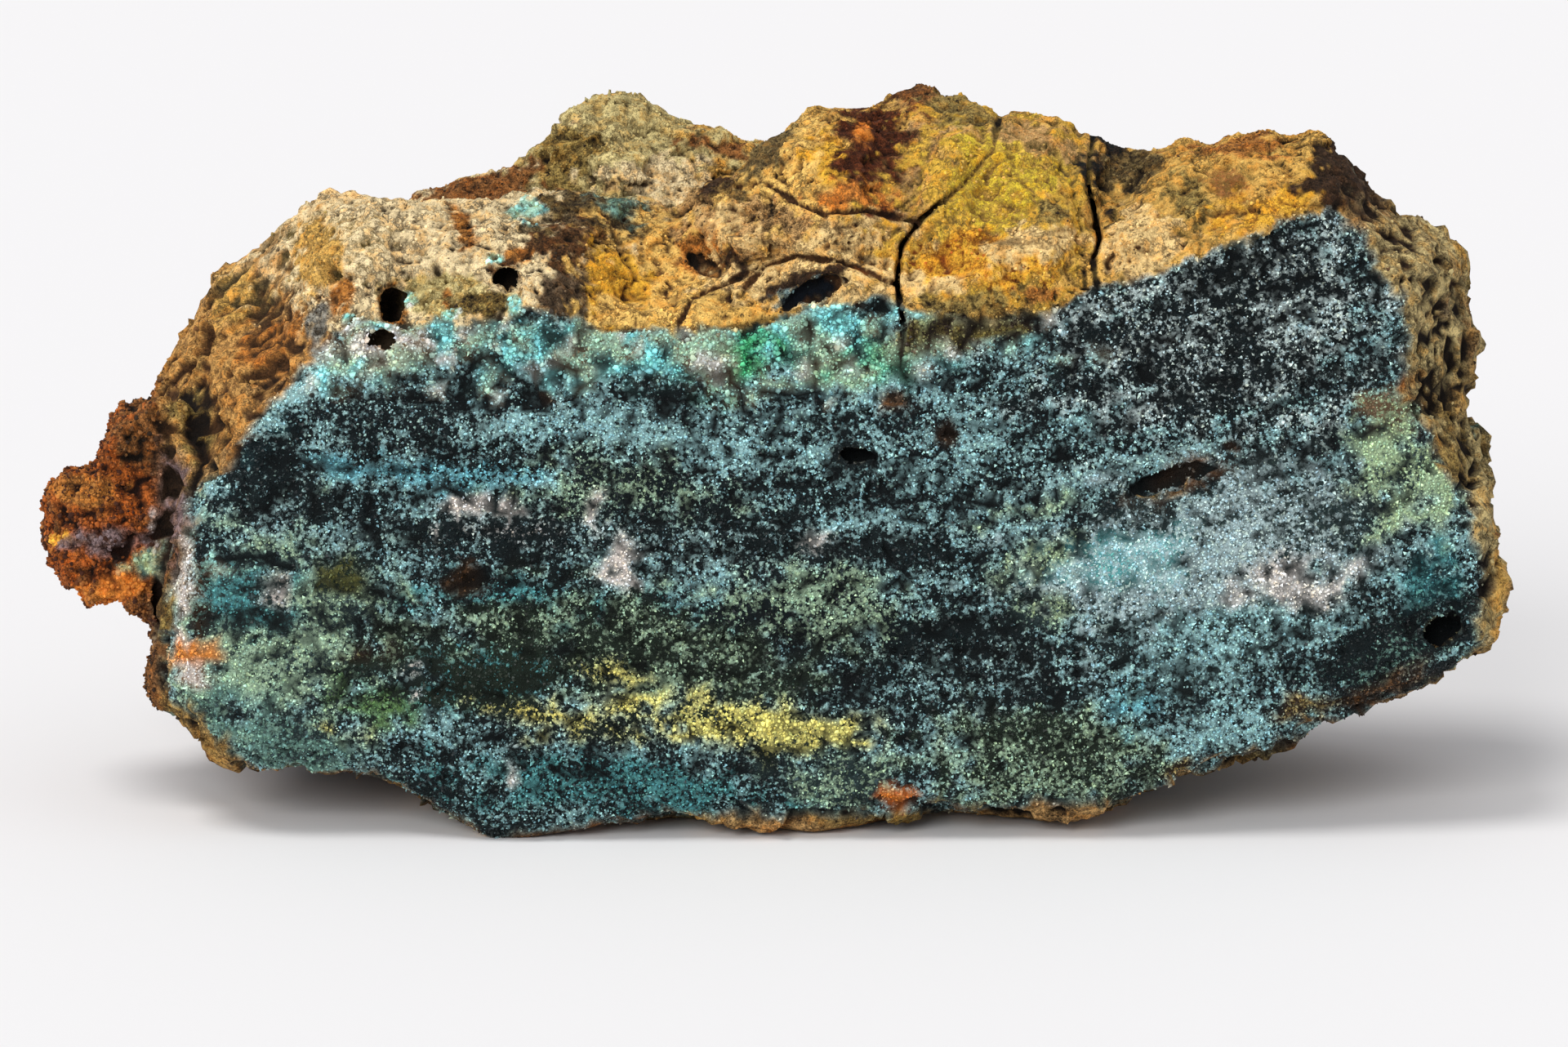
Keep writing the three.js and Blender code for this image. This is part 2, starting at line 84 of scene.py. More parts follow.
def placed(across, away, up):
    """The place in metres of a point given in the drawing."""
    y = away * COS + up * SIN + DRAWING_ORIGIN[1]
    return Vector((across + DRAWING_ORIGIN[0], y, up * COS - away * SIN)) * MM


def add_camera():
    data = bpy.data.cameras.new("camera")
    data.lens = SENSOR_WIDTH * EYE_DISTANCE / FRAME_WIDTH
    data.sensor_width = SENSOR_WIDTH
    data.clip_start = 10 * MM
    camera = bpy.data.objects.new("camera", data)
    bpy.context.scene.collection.objects.link(camera)
    camera.location = placed(FRAME_CENTRE[0], -EYE_DISTANCE, FRAME_CENTRE[1])
    camera.rotation_euler = (math.pi / 2 - VIEW_TILT, 0, 0)
    bpy.context.scene.camera = camera
    return camera


camera = add_camera()
print("The camera is", round(camera.location.z / MM), "mm above the table, lens", round(camera.data.lens))

# %% [markdown]
# A specimen is shown under soft light on a pale table. Lamps close by would leave the table's far end
# dark, so wide suns and a pale sky are used, which light it evenly. The key stands almost overhead, so
# that every crystal on the upright face throws a short shadow downwards, and the front lamp fills those.

# %% Light and table
SKY_STRENGTH = 0.52
KEY = {"strength": 1.28, "angle": 24, "from": (-0.35, -0.12, 1.0), "colour": (1.0, 0.985, 0.96)}
FRONT = {"strength": 1.42, "angle": 30, "from": (-0.45, -1.0, 0.62), "colour": (1.0, 0.99, 0.98)}
TABLE_SIZE = 12.0


def add_sun(name, lamp):
    data = bpy.data.lights.new(name, "SUN")
    data.energy = lamp["strength"]
    data.angle = math.radians(lamp["angle"])
    data.color = lamp["colour"]
    sun = bpy.data.objects.new(name, data)
    bpy.context.scene.collection.objects.link(sun)
    sun.rotation_mode = "QUATERNION"
    sun.rotation_quaternion = Vector(lamp["from"]).to_track_quat("Z", "Y")


def add_sky():
    sky = bpy.data.worlds.new("sky")
    sky.use_nodes = True
    background = sky.node_tree.nodes["Background"]
    background.inputs["Color"].default_value = (0.97, 0.975, 1.0, 1)
    background.inputs["Strength"].default_value = SKY_STRENGTH
    bpy.context.scene.world = sky


def add_table():
    mesh = bpy.data.meshes.new("table")
    half = TABLE_SIZE / 2
    corners = [(-half, -half, 0), (half, -half, 0), (half, half, 0), (-half, half, 0)]
    mesh.from_pydata(corners, [], [(0, 1, 2, 3)])
    table = bpy.data.objects.new("table", mesh)
    bpy.context.scene.collection.objects.link(table)
    return table


add_sun("key", KEY)
add_sun("front", FRONT)
add_sky()
table = add_table()
bpy.context.scene.view_settings.view_transform = "Standard"

# %% [markdown]
# Rock is rough at every scale, and nothing about it may change from run to run. Blender has noise
# textures, but a mesh of several hundred thousand points is moved fastest with numpy. So the noise is
# made here: random numbers on a lattice, smoothly joined, each drawn from its corner's place and a seed.

# %% Noise
FACTORS = (374761393, 668265263, 974634777)  # so large that neighbouring corners share no digits
SEED_FACTOR = 1274126177
STIR = 1103515245
LATTICE_OFFSET = 1000  # keeps every lattice place above zero


def hashed(corner, seed):
    """A repeatable random number from 0 to 1 for each whole-numbered corner."""
    mixed = sum(corner[:, axis] * factor for axis, factor in enumerate(FACTORS)) + seed * SEED_FACTOR
    mixed = (mixed ^ (mixed >> 13)) * STIR
    mixed = (mixed ^ (mixed >> 17)) * FACTORS[1]
    return ((mixed >> 8) & 0xFFFFF) / 0xFFFFF


def noise(points, size, seed):
    """Smooth noise from -1 to 1 whose lumps are about `size` across."""
    scaled = points / size + LATTICE_OFFSET
    corner = np.floor(scaled).astype(np.int64)
    inside = scaled - corner
    blend = inside * inside * (3 - 2 * inside)
    total = np.zeros(len(points))
    for step in np.ndindex(2, 2, 2):
        weight = np.prod(np.where(np.array(step) == 1, blend, 1 - blend), axis=1)
        total += weight * hashed(corner + np.array(step), seed)
    return 2 * total - 1


TURN = np.array([[0.36, 0.48, -0.8], [-0.8, 0.6, 0.0], [0.48, 0.64, 0.6]])


def fractal(points, size, seed, octaves=3):
    """Noise with finer noise on it, each layer turned so that no lattice shows."""
    total = np.zeros(len(points))
    for octave in range(octaves):
        total += noise(points, size / 2**octave, seed + octave) / 2**octave
        points = points @ TURN
    return total / (2 - 0.5 ** (octaves - 1))


def cells(points, size, seed):
    """How far the nearest two of scattered seeds are, the nearest's cell and the way from it."""
    scaled = points / size + LATTICE_OFFSET
    corner = np.floor(scaled).astype(np.int64)
    nearest = np.full(len(points), 9.0)
    second = nearest.copy()
    cell = corner.copy()
    away = np.zeros((len(points), 3))
    for step in np.ndindex(3, 3, 3):
        home = corner + np.array(step) - 1
        offset = scaled - home - np.stack([hashed(home, seed + axis) for axis in range(3)], axis=1)
        distance = np.linalg.norm(offset, axis=1)
        closer = distance < nearest
        second = np.where(closer, nearest, np.minimum(second, distance))
        nearest = np.where(closer, distance, nearest)
        cell[closer] = home[closer]
        away[closer] = offset[closer]
    return nearest, second, cell, away


def facets(points, size, seed):
    """A broken surface of flat little faces, from about -1 to 1. Each has its own height and slant."""
    _, _, cell, away = cells(points, size, seed)
    slant = np.stack([hashed(cell, seed + 11 + axis) - 0.5 for axis in range(3)], axis=1)
    return hashed(cell, seed + 20) - 0.5 + 1.8 * np.sum(slant * away, axis=1)


def walls(points, size, seed):
    """Sharp thin ridges with round hollows between them, from -1 to 1."""
    return 1 - 2.6 * np.abs(fractal(points, size, seed, 2))


def ramp(values, start, end):
    """0 before `start` and 1 after `end`, with a smooth step between."""
    t = np.clip((values - start) / (end - start), 0, 1)
    return t * t * (3 - 2 * t)


sample = np.random.default_rng(1).uniform(0, 50, (2000, 3))
print("Noise spans", round(fractal(sample, 3, 1).min(), 2), "to", round(fractal(sample, 3, 1).max(), 2))

# %% [markdown]
# The solid's triangles are far too coarse to carry grains and cracks. Subdividing would keep their long
# thin shapes. A voxel remesh gives an even skin instead, fine enough to hold a pin hole or a crack half a
# millimetre wide. The solid's mesh is loose triangles, so a copy is merged first.

# %% A fine even skin
VOXEL = 0.3 * MM


def mesh_of(thing, name):
    """What an object's modifiers make of it, as a plain mesh."""
    bpy.context.view_layer.update()
    graph = bpy.context.evaluated_depsgraph_get()
    mesh = bpy.data.meshes.new_from_object(thing.evaluated_get(graph), depsgraph=graph)
    mesh.name = name
    return mesh


def with_modifier(mesh, kind, **settings):
    """A mesh after one modifier."""
    carrier = bpy.data.objects.new("carrier", mesh)
    bpy.context.scene.collection.objects.link(carrier)
    modifier = carrier.modifiers.new(kind.lower(), kind)
    for key, value in settings.items():
        setattr(modifier, key, value)
    result = mesh_of(carrier, mesh.name)
    bpy.data.objects.remove(carrier)
    return result


def merged_copy(node):
    bm = bmesh.new()
    bm.from_mesh(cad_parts[node].data)
    bmesh.ops.remove_doubles(bm, verts=bm.verts, dist=0.002 * MM)
    mesh = bpy.data.meshes.new("stone")
    bm.to_mesh(mesh)
    bm.free()
    return mesh


def places_of(mesh):
    flat = np.empty(3 * len(mesh.vertices))
    mesh.vertices.foreach_get("co", flat)
    return flat.reshape(-1, 3) / MM


def normals_of(mesh):
    flat = np.empty(3 * len(mesh.vertices))
    mesh.vertex_normals.foreach_get("vector", flat)
    return flat.reshape(-1, 3)


def edges_of(mesh):
    flat = np.empty(2 * len(mesh.edges), int)
    mesh.edges.foreach_get("vertices", flat)
    return flat.reshape(-1, 2).T


def eased(values, edges, rounds):
    """Values of a mesh's points after sharing each with its neighbours, `rounds` times."""
    a, b = edges
    count = len(values)
    neighbours = np.bincount(a, minlength=count) + np.bincount(b, minlength=count)
    for _ in range(rounds):
        columns = [
            np.bincount(a, values[b, i], count) + np.bincount(b, values[a, i], count)
            for i in range(values.shape[1])
        ]
        values = 0.5 * values + 0.5 * np.stack(columns, axis=1) / neighbours[:, None]
    return values


def set_places(mesh, places):
    mesh.vertices.foreach_set("co", (places * MM).ravel())
    mesh.update()


skin = with_modifier(merged_copy(NODE), "REMESH", mode="VOXEL", voxel_size=VOXEL)
print("The skin has", len(skin.vertices), "points")

# %% [markdown]
# What a place on the stone is made of follows from where it is in the drawing. The edge of the crust is
# an outline with few points, and the cracks are runs of points. Both say how far any place is from them.

# %% Where each kind of rock lies
CRUST_OUTLINE = [
    (-54.7, 14.0), (-54.0, 20.0), (-52.9, 25.0), (-52.2, 31.0), (-49.0, 32.6), (-46.9, 36.9),
    (-44.1, 39.9), (-41.0, 43.0), (-38.7, 46.2), (-32.8, 46.0), (-28.5, 45.8), (-22.6, 47.2),
    (-18.3, 46.8), (-15.4, 45.3), (-7.4, 45.4), (-1.5, 45.8), (3.6, 47.6), (9.4, 48.6), (11.6, 47.2),
    (18.1, 46.3), (25.4, 47.4), (28.7, 49.4), (36.3, 51.2), (44.3, 54.5), (49.1, 56.3), (52.0, 53.8),
    (53.2, 50.8), (55.7, 47.9), (56.2, 43.5), (55.5, 40.0), (58.0, 37.0), (58.8, 34.0), (61.2, 31.0),
    (62.0, 28.0), (63.0, 24.0), (62.6, 17.5), (58.7, 14.4), (44.0, 7.9), (30.5, 3.5), (14.4, 2.7),
    (-9.0, 2.2), (-25.6, 0.0), (-34.8, 5.6), (-46.8, 6.3),
]
CRACKS = [
    [(20.2, 66.0), (19.2, 61.4), (16.7, 58.5), (12.9, 55.3), (11.1, 53.0), (10.7, 49.7), (11.3, 45.7),
     (11.0, 42.4), (12.0, 39.4)],
    [(28.2, 63.0), (27.7, 58.5), (28.4, 55.6), (28.8, 53.6), (28.2, 51.5), (28.7, 48.8)],
    [(-1.0, 58.6), (1.7, 56.8), (4.3, 55.8), (7.9, 56.2), (12.6, 55.0)],
    [(-3.4, 48.6), (-1.0, 51.3), (1.4, 52.0), (5.8, 51.6), (10.9, 49.4)],
    [(-8.9, 45.6), (-7.6, 48.2), (-4.0, 49.9), (-1.6, 51.2)],
    [(8.8, 34.4), (8.1, 30.8), (8.6, 28.2), (10.6, 24.2)],
]
SEAMS = [  # fainter than the cracks
    [(-16.4, 45.6), (-8.9, 45.3), (-2.6, 45.8), (0.8, 46.8)],
    [(17.2, 53.6), (22.4, 53.2), (25.2, 54.4), (28.2, 54.6)],
]
HOLES = {  # middle and half sizes in the drawing, slant in degrees, and how deep from 0 to 1
    "slot in the lens": ((3.1, 48.9), (3.6, 0.8), 20, 0.7),
    "hole in the cream rind": ((-34.3, 47.8), (1.2, 1.4), 0, 1.0),
    "hole beside the hump": ((-24.1, 50.1), (1.2, 0.9), -30, 1.0),
    "hole in the turquoise": ((-35.3, 44.7), (0.9, 0.6), 0, 0.9),
    "brown pocket": ((35.4, 32.2), (4.2, 1.0), 14, 0.3),
    "hole above the hair crack": ((7.2, 34.3), (1.3, 0.5), 6, 0.6),
    "pocket at the right foot": ((59.4, 18.6), (1.8, 1.0), 30, 0.9),
    "pit right of the crack": ((15.3, 36.3), (0.8, 0.5), 0, 0.5),
    "pit in the dish": ((-6.6, 51.4), (1.9, 0.7), -28, 0.6),
    "gap beside the lump": ((-55.2, 21.8), (0.5, 2.2), 6, 0.9),
}


def drawn(places):
    """Where places on the stone stand in the drawing: across, away from the eye and up."""
    x = places[:, 0] - DRAWING_ORIGIN[0]
    y = places[:, 1] - DRAWING_ORIGIN[1]
    away = y * COS - places[:, 2] * SIN
    up = y * SIN + places[:, 2] * COS
    nearness = EYE_DISTANCE / (EYE_DISTANCE + away)
    return x * nearness, away, EYE_HEIGHT + (up - EYE_HEIGHT) * nearness


def distance_to_run(points, across, up):
    """Distance from each drawn place to a run of straight lines."""
    nearest = np.full(len(across), np.inf)
    for (ax, az), (bx, bz) in zip(points, points[1:]):
        along = (across - ax) * (bx - ax) + (up - az) * (bz - az)
        t = np.clip(along / ((bx - ax) ** 2 + (bz - az) ** 2), 0, 1)
        nearest = np.minimum(nearest, np.hypot(across - ax - t * (bx - ax), up - az - t * (bz - az)))
    return nearest


def distance_outside(outline, across, up):
    """Distance from each drawn place to a closed outline, negative inside it."""
    inside = np.zeros(len(across), bool)
    for (ax, az), (bx, bz) in zip(outline, outline[1:] + outline[:1]):
        if az != bz:
            inside ^= ((az > up) != (bz > up)) & (across < (bx - ax) * (up - az) / (bz - az) + ax)
    nearest = distance_to_run(outline + outline[:1], across, up)
    return np.where(inside, -nearest, nearest)


def reach_from(middle, half, slant, zones):
    """How far each place is from a slanted ellipse's middle, with 1 on its edge."""
    c, s = math.cos(math.radians(slant)), math.sin(math.radians(slant))
    dx, dz = zones["across"] - middle[0], zones["up"] - middle[1]
    return np.hypot((dx * c + dz * s) / half[0], (dz * c - dx * s) / half[1])


RIDGE_REACH = 20  # how much further back the rind reaches where the rear ridge stands
SEAM_STRENGTH = 0.4  # a crack has 1


def add_splits(zones, places):
    """How much each place lies in a crack or a hole, on a crack's wall, or near either."""
    across, away, up, facing = (zones[key] for key in ("across", "away", "up", "facing"))
    crack = np.min([distance_to_run(run, across, up) for run in CRACKS], axis=0)
    seam = np.min([distance_to_run(run, across, up) for run in SEAMS], axis=0)
    unsteady = 0.3 * fractal(places, 1.5, 47)
    ragged = 0.5 * fractal(places, 1.3, 41)
    near = 1 - ramp(away, 16, 22)
    front = near * ramp(facing, -0.3, 0.1)
    holes = [
        deep * (1 - ramp(reach_from(*place, zones) + ragged, 0.7, 1.1)) for *place, deep in HOLES.values()
    ]
    zones["hole"] = np.max(holes, axis=0) * near
    split = 1 - ramp(crack + unsteady, 0.06, 0.3)
    faint = SEAM_STRENGTH * (1 - ramp(seam + 2 * unsteady, 0.06, 0.4))
    zones["crack"] = np.maximum(split, faint) * front
    zones["bare"] = (1 - ramp(crack, 0.2, 0.55)) * front
    zones["crack_wall"] = (1 - ramp(crack, 0.7, 1.2)) * (1 - ramp(facing, 0.3, 0.75))
    zones["near_crack"] = np.maximum(1 - ramp(crack, 0.6, 1.2), ramp(zones["hole"], 0.0, 0.3))


def zones_of(places, normals):
    """How much each place belongs to each kind of rock, and where it is in the drawing."""
    across, away, up = drawn(places)
    facing = normals[:, 2] * SIN - normals[:, 1] * COS
    wander = 1.1 * fractal(places, 3.0, 40)
    beyond = distance_outside(CRUST_OUTLINE, across, up) + 0.6 * wander + 0.8 * fractal(places, 1.2, 44)
    crust = (1 - ramp(beyond, -0.3, 0.4)) * ramp(facing, 0.0, 0.35) * (1 - ramp(away, 8, 11))
    gossan = ramp(-across, 54.2, 56.2) * ramp(away, 4.5, 7)
    ridge = (1 - ramp(across, 2, 6)) * ramp(up, 50, 54)
    seen = 1 - ramp(away - RIDGE_REACH * ridge, 22, 30)
    top = (1 - crust) * seen * ramp(up + wander, 43.5, 45.5) * (1 - gossan)
    left = 1 - ramp(across + wander, -47, -42)
    right = ramp(across + wander, 49, 52)
    past_cream = ramp(across + wander, -19.5, -16.5)
    zones = {"across": across, "away": away, "up": up, "facing": facing, "crust": crust, "gossan": gossan}
    zones["cream"] = top * (1 - left) * (1 - past_cream)
    zones["block"] = top * past_cream * (1 - right)
    zones["broken"] = np.clip(1 - crust - gossan - zones["cream"] - zones["block"], 0, 1)
    zones["band"] = crust * ramp(up + wander, 39.5, 42) * (1 - ramp(across + wander, 17, 21))
    add_splits(zones, places)
    return zones


zones = zones_of(places_of(skin), normals_of(skin))
for kind in ("crust", "gossan", "cream", "block", "broken"):
    print(f"{kind}: {zones[kind].mean():.0%} of the skin")

# %% [markdown]
# Each kind of rock broke or grew in its own way. The crust was dragged over by another rock, which left
# faint flutes that run along it, and crystals grew on those. The cream rind is full of small cavities
# with thin walls. The ochre blocks are earthy, with pin pricks. The lump is a sponge of iron oxide, and
# the rest is broken rock with flat little faces. So each kind has a height of its own, in millimetres,
# and they are mixed by how much of each is at a place. Sculpting by hand would look as good, but it
# couldn't be repeated.

# %% Relief of each kind of rock
FLUTE_SLOPE = 0.03
FLUTE_STEEPENING = 0.0036  # the flutes bend down towards the right end


def pits(points, size, share, seed):
    """Round pits of many sizes: 1 at the bottom, 0 on the ground. A `share` of the cells have one."""
    nearest, _, cell, _ = cells(points, size, seed)
    chance = hashed(cell, seed + 7)
    reach = 0.16 + 0.34 * chance / share
    return np.where(chance < share, 1 - ramp(nearest, 0.45 * reach, reach), 0)


def flow_of(across, up):
    """Height above the flutes' own curving line, so that what depends on it follows them."""
    return up - FLUTE_STEEPENING * np.clip(across - 2, 0, None) ** 2 + FLUTE_SLOPE * across


def crust_relief(points, zones):
    flow = flow_of(zones["across"], zones["up"])
    flutes = np.stack([zones["across"] / 9, zones["away"] / 4, flow / 0.8], axis=1)
    wide_flutes = np.stack([zones["across"] / 16, zones["away"] / 6, flow / 2.6], axis=1)
    height = 0.2 * noise(flutes, 1, 3) + 0.32 * noise(wide_flutes, 1, 5)
    height += 0.3 * fractal(points, 2.1, 8) + 0.26 * noise(points, 0.85, 9)
    height += 0.5 * zones["band"] * (1.1 * fractal(points, 2.2, 14) + 0.5 * walls(points, 1.9, 15))
    height += 0.45 * (0.5 - cells(points, 0.95, 16)[0])
    return height - 0.4 * pits(points, 3.4, 0.06, 12) - 0.4 * pits(points, 1.3, 0.25, 13)


def cream_relief(points, zones):
    bent = points + 0.8 * np.stack([noise(points, 2.2, seed) for seed in (26, 27, 28)], axis=1)
    height = 0.6 * fractal(points, 4.2, 21) + 0.42 * walls(bent, 3.4, 24) + 0.3 * walls(bent, 1.5, 39)
    fine = 0.4 * fractal(points, 1.3, 25) + 0.24 * facets(bent, 1.3, 49)
    height += fine - 0.9 * pits(bent, 2.6, 0.16, 22)
    return height - 0.4 * pits(bent, 1.3, 0.2, 23) - 0.3 * pits(points, 0.8, 0.2, 43)


def block_relief(points, zones):
    bent = points + 1.4 * np.stack([fractal(points, 3.1, seed) for seed in (36, 37, 38)], axis=1)
    height = 0.45 * fractal(points, 4.6, 30) + 0.5 * facets(bent, 4.2, 31) + 0.16 * walls(bent, 1.6, 35)
    fine = 0.34 * fractal(points, 1.3, 33) + 0.26 * facets(bent, 1.6, 29)
    height += fine - 0.3 * pits(bent, 1.3, 0.12, 32)
    return height - 0.5 * ramp(fractal(points, 3.2, 34), 0.12, 0.4) - 0.25 * pits(points, 0.8, 0.2, 42)


def gossan_relief(points, zones):
    lumps = 0.55 - cells(points, 2.1, 45)[0]
    grains = 0.55 - cells(points, 1.05, 48)[0]
    return 1.3 * lumps + 0.6 * grains + 0.5 * fractal(points, 3.4, 46) - 0.8 * pits(points, 2.2, 0.3, 47)


def broken_relief(points, zones):
    bent = points + 1.2 * np.stack([noise(points, 4, seed) for seed in (50, 51, 52)], axis=1)
    height = 1.0 * facets(bent, 7.5, 53) + 0.6 * facets(bent, 2.9, 57) + 0.2 * facets(bent, 1.4, 56)
    height += 0.4 * fractal(points, 2.6, 58) + 0.34 * fractal(points, 1.2, 61)
    height += 0.5 * (0.5 - cells(bent, 1.3, 63)[0])
    return height - 0.3 * pits(bent, 2.4, 0.1, 60) - 0.25 * pits(points, 1.0, 0.18, 62)


RELIEFS = {
    "crust": crust_relief,
    "cream": cream_relief,
    "block": block_relief,
    "gossan": gossan_relief,
    "broken": broken_relief,
}
CRACK_DEPTH = 0.5
CRACK_CLOSING = 0.16  # how far each wall of a crack comes in
HOLE_DEPTH = 1.4


def relief_of(points, zones):
    height = np.zeros(len(points))
    for kind, relief in RELIEFS.items():
        there = zones[kind] > 0.001
        some = {key: values[there] for key, values in zones.items()}
        height[there] += zones[kind][there] * relief(points[there], some)
    return height


print("Kinds of relief:", ", ".join(RELIEFS))

# %% [markdown]
# The skin is eased first, which rounds off the solid's flat triangles but leaves its cracks and holes.
# Then every point moves along its own normal. The relief sinks in more than it stands out, so that the
# stone stays its real size, and what would leave the solid's box is held at it. The foot stays flat.

# %% Shape the skin
EASING_ROUNDS = 14
SETTLE = 0.22  # the whole skin sinks by this before the relief stands on it
FOOT_FADE = 1.6


def holes_near(mesh, places, edges):
    """1 where the skin bends sharply inwards, as in the solid's cracks and holes."""
    hollow = np.sum((eased(places, edges, 6) - places) * normals_of(mesh), axis=1)
    return ramp(eased(np.abs(hollow)[:, None], edges, 4)[:, 0], 0.05, 0.12)


def shape(mesh):
    places = places_of(mesh)
    edges = edges_of(mesh)
    normals = normals_of(mesh)
    zones = zones_of(places, normals)
    kept = np.maximum(holes_near(mesh, places, edges) * (1 - zones["broken"]), zones["near_crack"])
    soft = (1 - kept)[:, None]
    places = places * (1 - soft) + eased(places, edges, EASING_ROUNDS) * soft
    set_places(mesh, places)
    normals = eased(normals_of(mesh), edges, 4)
    normals /= np.linalg.norm(normals, axis=1)[:, None]
    height = (relief_of(places, zones) - SETTLE) * (1 - 0.9 * ramp(kept, 0.5, 0.9))
    height += CRACK_CLOSING * zones["crack_wall"] * (1 + fractal(places, 1.8, 48))
    height -= CRACK_DEPTH * zones["crack"] + HOLE_DEPTH * zones["hole"]
    height *= ramp(places[:, 2], 0.05, FOOT_FADE)
    places = places + normals * height[:, None]
    low, high = (np.array(corner) / MM for corner in cad_box)
    set_places(mesh, np.clip(places, low, high))
    return height


heights = shape(skin)
print("Relief from", round(heights.min(), 2), "to", round(heights.max(), 2), "mm")

# %% [markdown]
# Not every stretch needs as many points as pin holes do. Collapsing edges takes most points away where
# the mesh is flattest, and a vertex group says where it may be thinned more: on the back, which is seen
# least, and under the crystals of the crust.

# %% Thin the skin where it shows least
MOST_TRIANGLES = 196000
THINNING = {"crust": 0.55, "gossan": 0.1, "cream": 0.0, "block": 0.0, "broken": 0.45}
THINNING_BEHIND = 0.5
GROUP_STEPS = 10
GROUP_PULL = 0.06  # how strongly the vertex group steers the thinning


def triangles_of(mesh):
    return sum(len(polygon.vertices) - 2 for polygon in mesh.polygons)


def thinned(mesh, most):
    """The mesh with at most so many triangles, thinned by the zones that its points lie in."""
    zones = zones_of(places_of(mesh), normals_of(mesh))
    share = sum(amount * zones[kind] for kind, amount in THINNING.items())
    share += THINNING_BEHIND * ramp(zones["away"], 34, 44)
    carrier = bpy.data.objects.new("carrier", mesh)
    bpy.context.scene.collection.objects.link(carrier)
    group = carrier.vertex_groups.new(name="thin")
    steps = np.round(np.clip(share, 0, 1) * GROUP_STEPS).astype(int)
    for step in range(1, GROUP_STEPS + 1):
        group.add(np.flatnonzero(steps == step).tolist(), step / GROUP_STEPS, "REPLACE")
    modifier = carrier.modifiers.new("thin", "DECIMATE")
    modifier.ratio = most / triangles_of(mesh)
    modifier.vertex_group = group.name
    modifier.vertex_group_factor = GROUP_PULL
    result = mesh_of(carrier, mesh.name)
    bpy.data.objects.remove(carrier)
    return result


before = triangles_of(skin)
if before > MOST_TRIANGLES:
    skin = thinned(skin, MOST_TRIANGLES)
skin.polygons.foreach_set("use_smooth", [True] * len(skin.polygons))
stone = bpy.data.objects.new("weathered_stone", skin)
bpy.context.scene.collection.objects.link(stone)
print(before, "triangles became", triangles_of(skin))

# %% [markdown]
# The colours are minerals, and each has a name here. They are written as a picture would show them, 0 to
# 255, and turned into the plain light values that a shader works with.

# %% A palette of minerals
COLOURS = {
    "night": (14, 24, 26),
    "blue_black": (18, 26, 38),
    "deep_teal": (26, 58, 62),
    "deep_green": (18, 50, 36),
    "bottle": (26, 36, 28),
    "slate": (36, 50, 50),
    "umber": (42, 30, 19),
    "chocolate": (68, 48, 32),
    "oxblood": (56, 27, 14),
    "red_brown": (104, 54, 28),
    "shadow_teal": (54, 88, 86),
    "grey_brown": (96, 78, 58),
    "clay": (110, 74, 42),
    "turquoise": (128, 204, 204),
    "malachite": (62, 158, 104),
    "sea_green": (108, 180, 148),
    "teal": (84, 150, 152),
    "grey_teal": (108, 146, 134),
    "sage": (162, 190, 160),
    "celadon": (168, 192, 152),
    "leaf": (98, 134, 82),
    "sky": (116, 184, 196),
    "pale_blue": (160, 198, 198),
    "powder_blue": (170, 192, 194),
    "blue_grey": (156, 200, 202),
    "steel": (156, 190, 190),
    "ice": (198, 216, 214),
    "lilac_grey": (218, 212, 206),
    "lilac_white": (218, 210, 208),
    "chalk": (218, 208, 200),
    "straw": (232, 222, 128),
    "olive": (88, 88, 44),
    "moss": (112, 100, 48),
    "khaki": (158, 134, 74),
    "khaki_brown": (124, 104, 64),
    "olive_tan": (188, 168, 116),
    "cream": (228, 206, 160),
    "celadon_cream": (196, 180, 124),
    "honey": (198, 150, 84),
    "sand": (226, 194, 132),
    "wheat": (228, 186, 102),
    "tan": (188, 148, 94),
    "ochre": (208, 164, 84),
    "yellow_ochre": (208, 166, 62),
    "gold": (222, 170, 56),
    "lemon": (206, 180, 54),
    "orange": (204, 126, 50),
    "orange_brown": (184, 122, 56),
    "mauve_grey": (128, 108, 108),
    "ash": (150, 146, 134),
    "rust": (176, 94, 36),
    "rust_brown": (148, 98, 52),
}
BRIGHTENING = 1.3  # the sun lamps leave an upright face a little darker than a picture shows it


def light_value(shade):
    """A 0 to 255 shade as the light it stands for."""
    s = shade / 255
    return BRIGHTENING * (s / 12.92 if s <= 0.04045 else ((s + 0.055) / 1.055) ** 2.4)


PALETTE = {name: np.array([light_value(shade) for shade in rgb]) for name, rgb in COLOURS.items()}
print(len(PALETTE), "minerals")

# %% [markdown]
# Looked at closely, every patch of the stone is grains of one colour on a ground of another. So a patch
# names the two, and the share of the ground that the grains cover. Each has its middle and half sizes
# across and up the drawing, and its slant in degrees. Painting an image would also work, but it would
# show its dots up close and smear where the stone turns away.

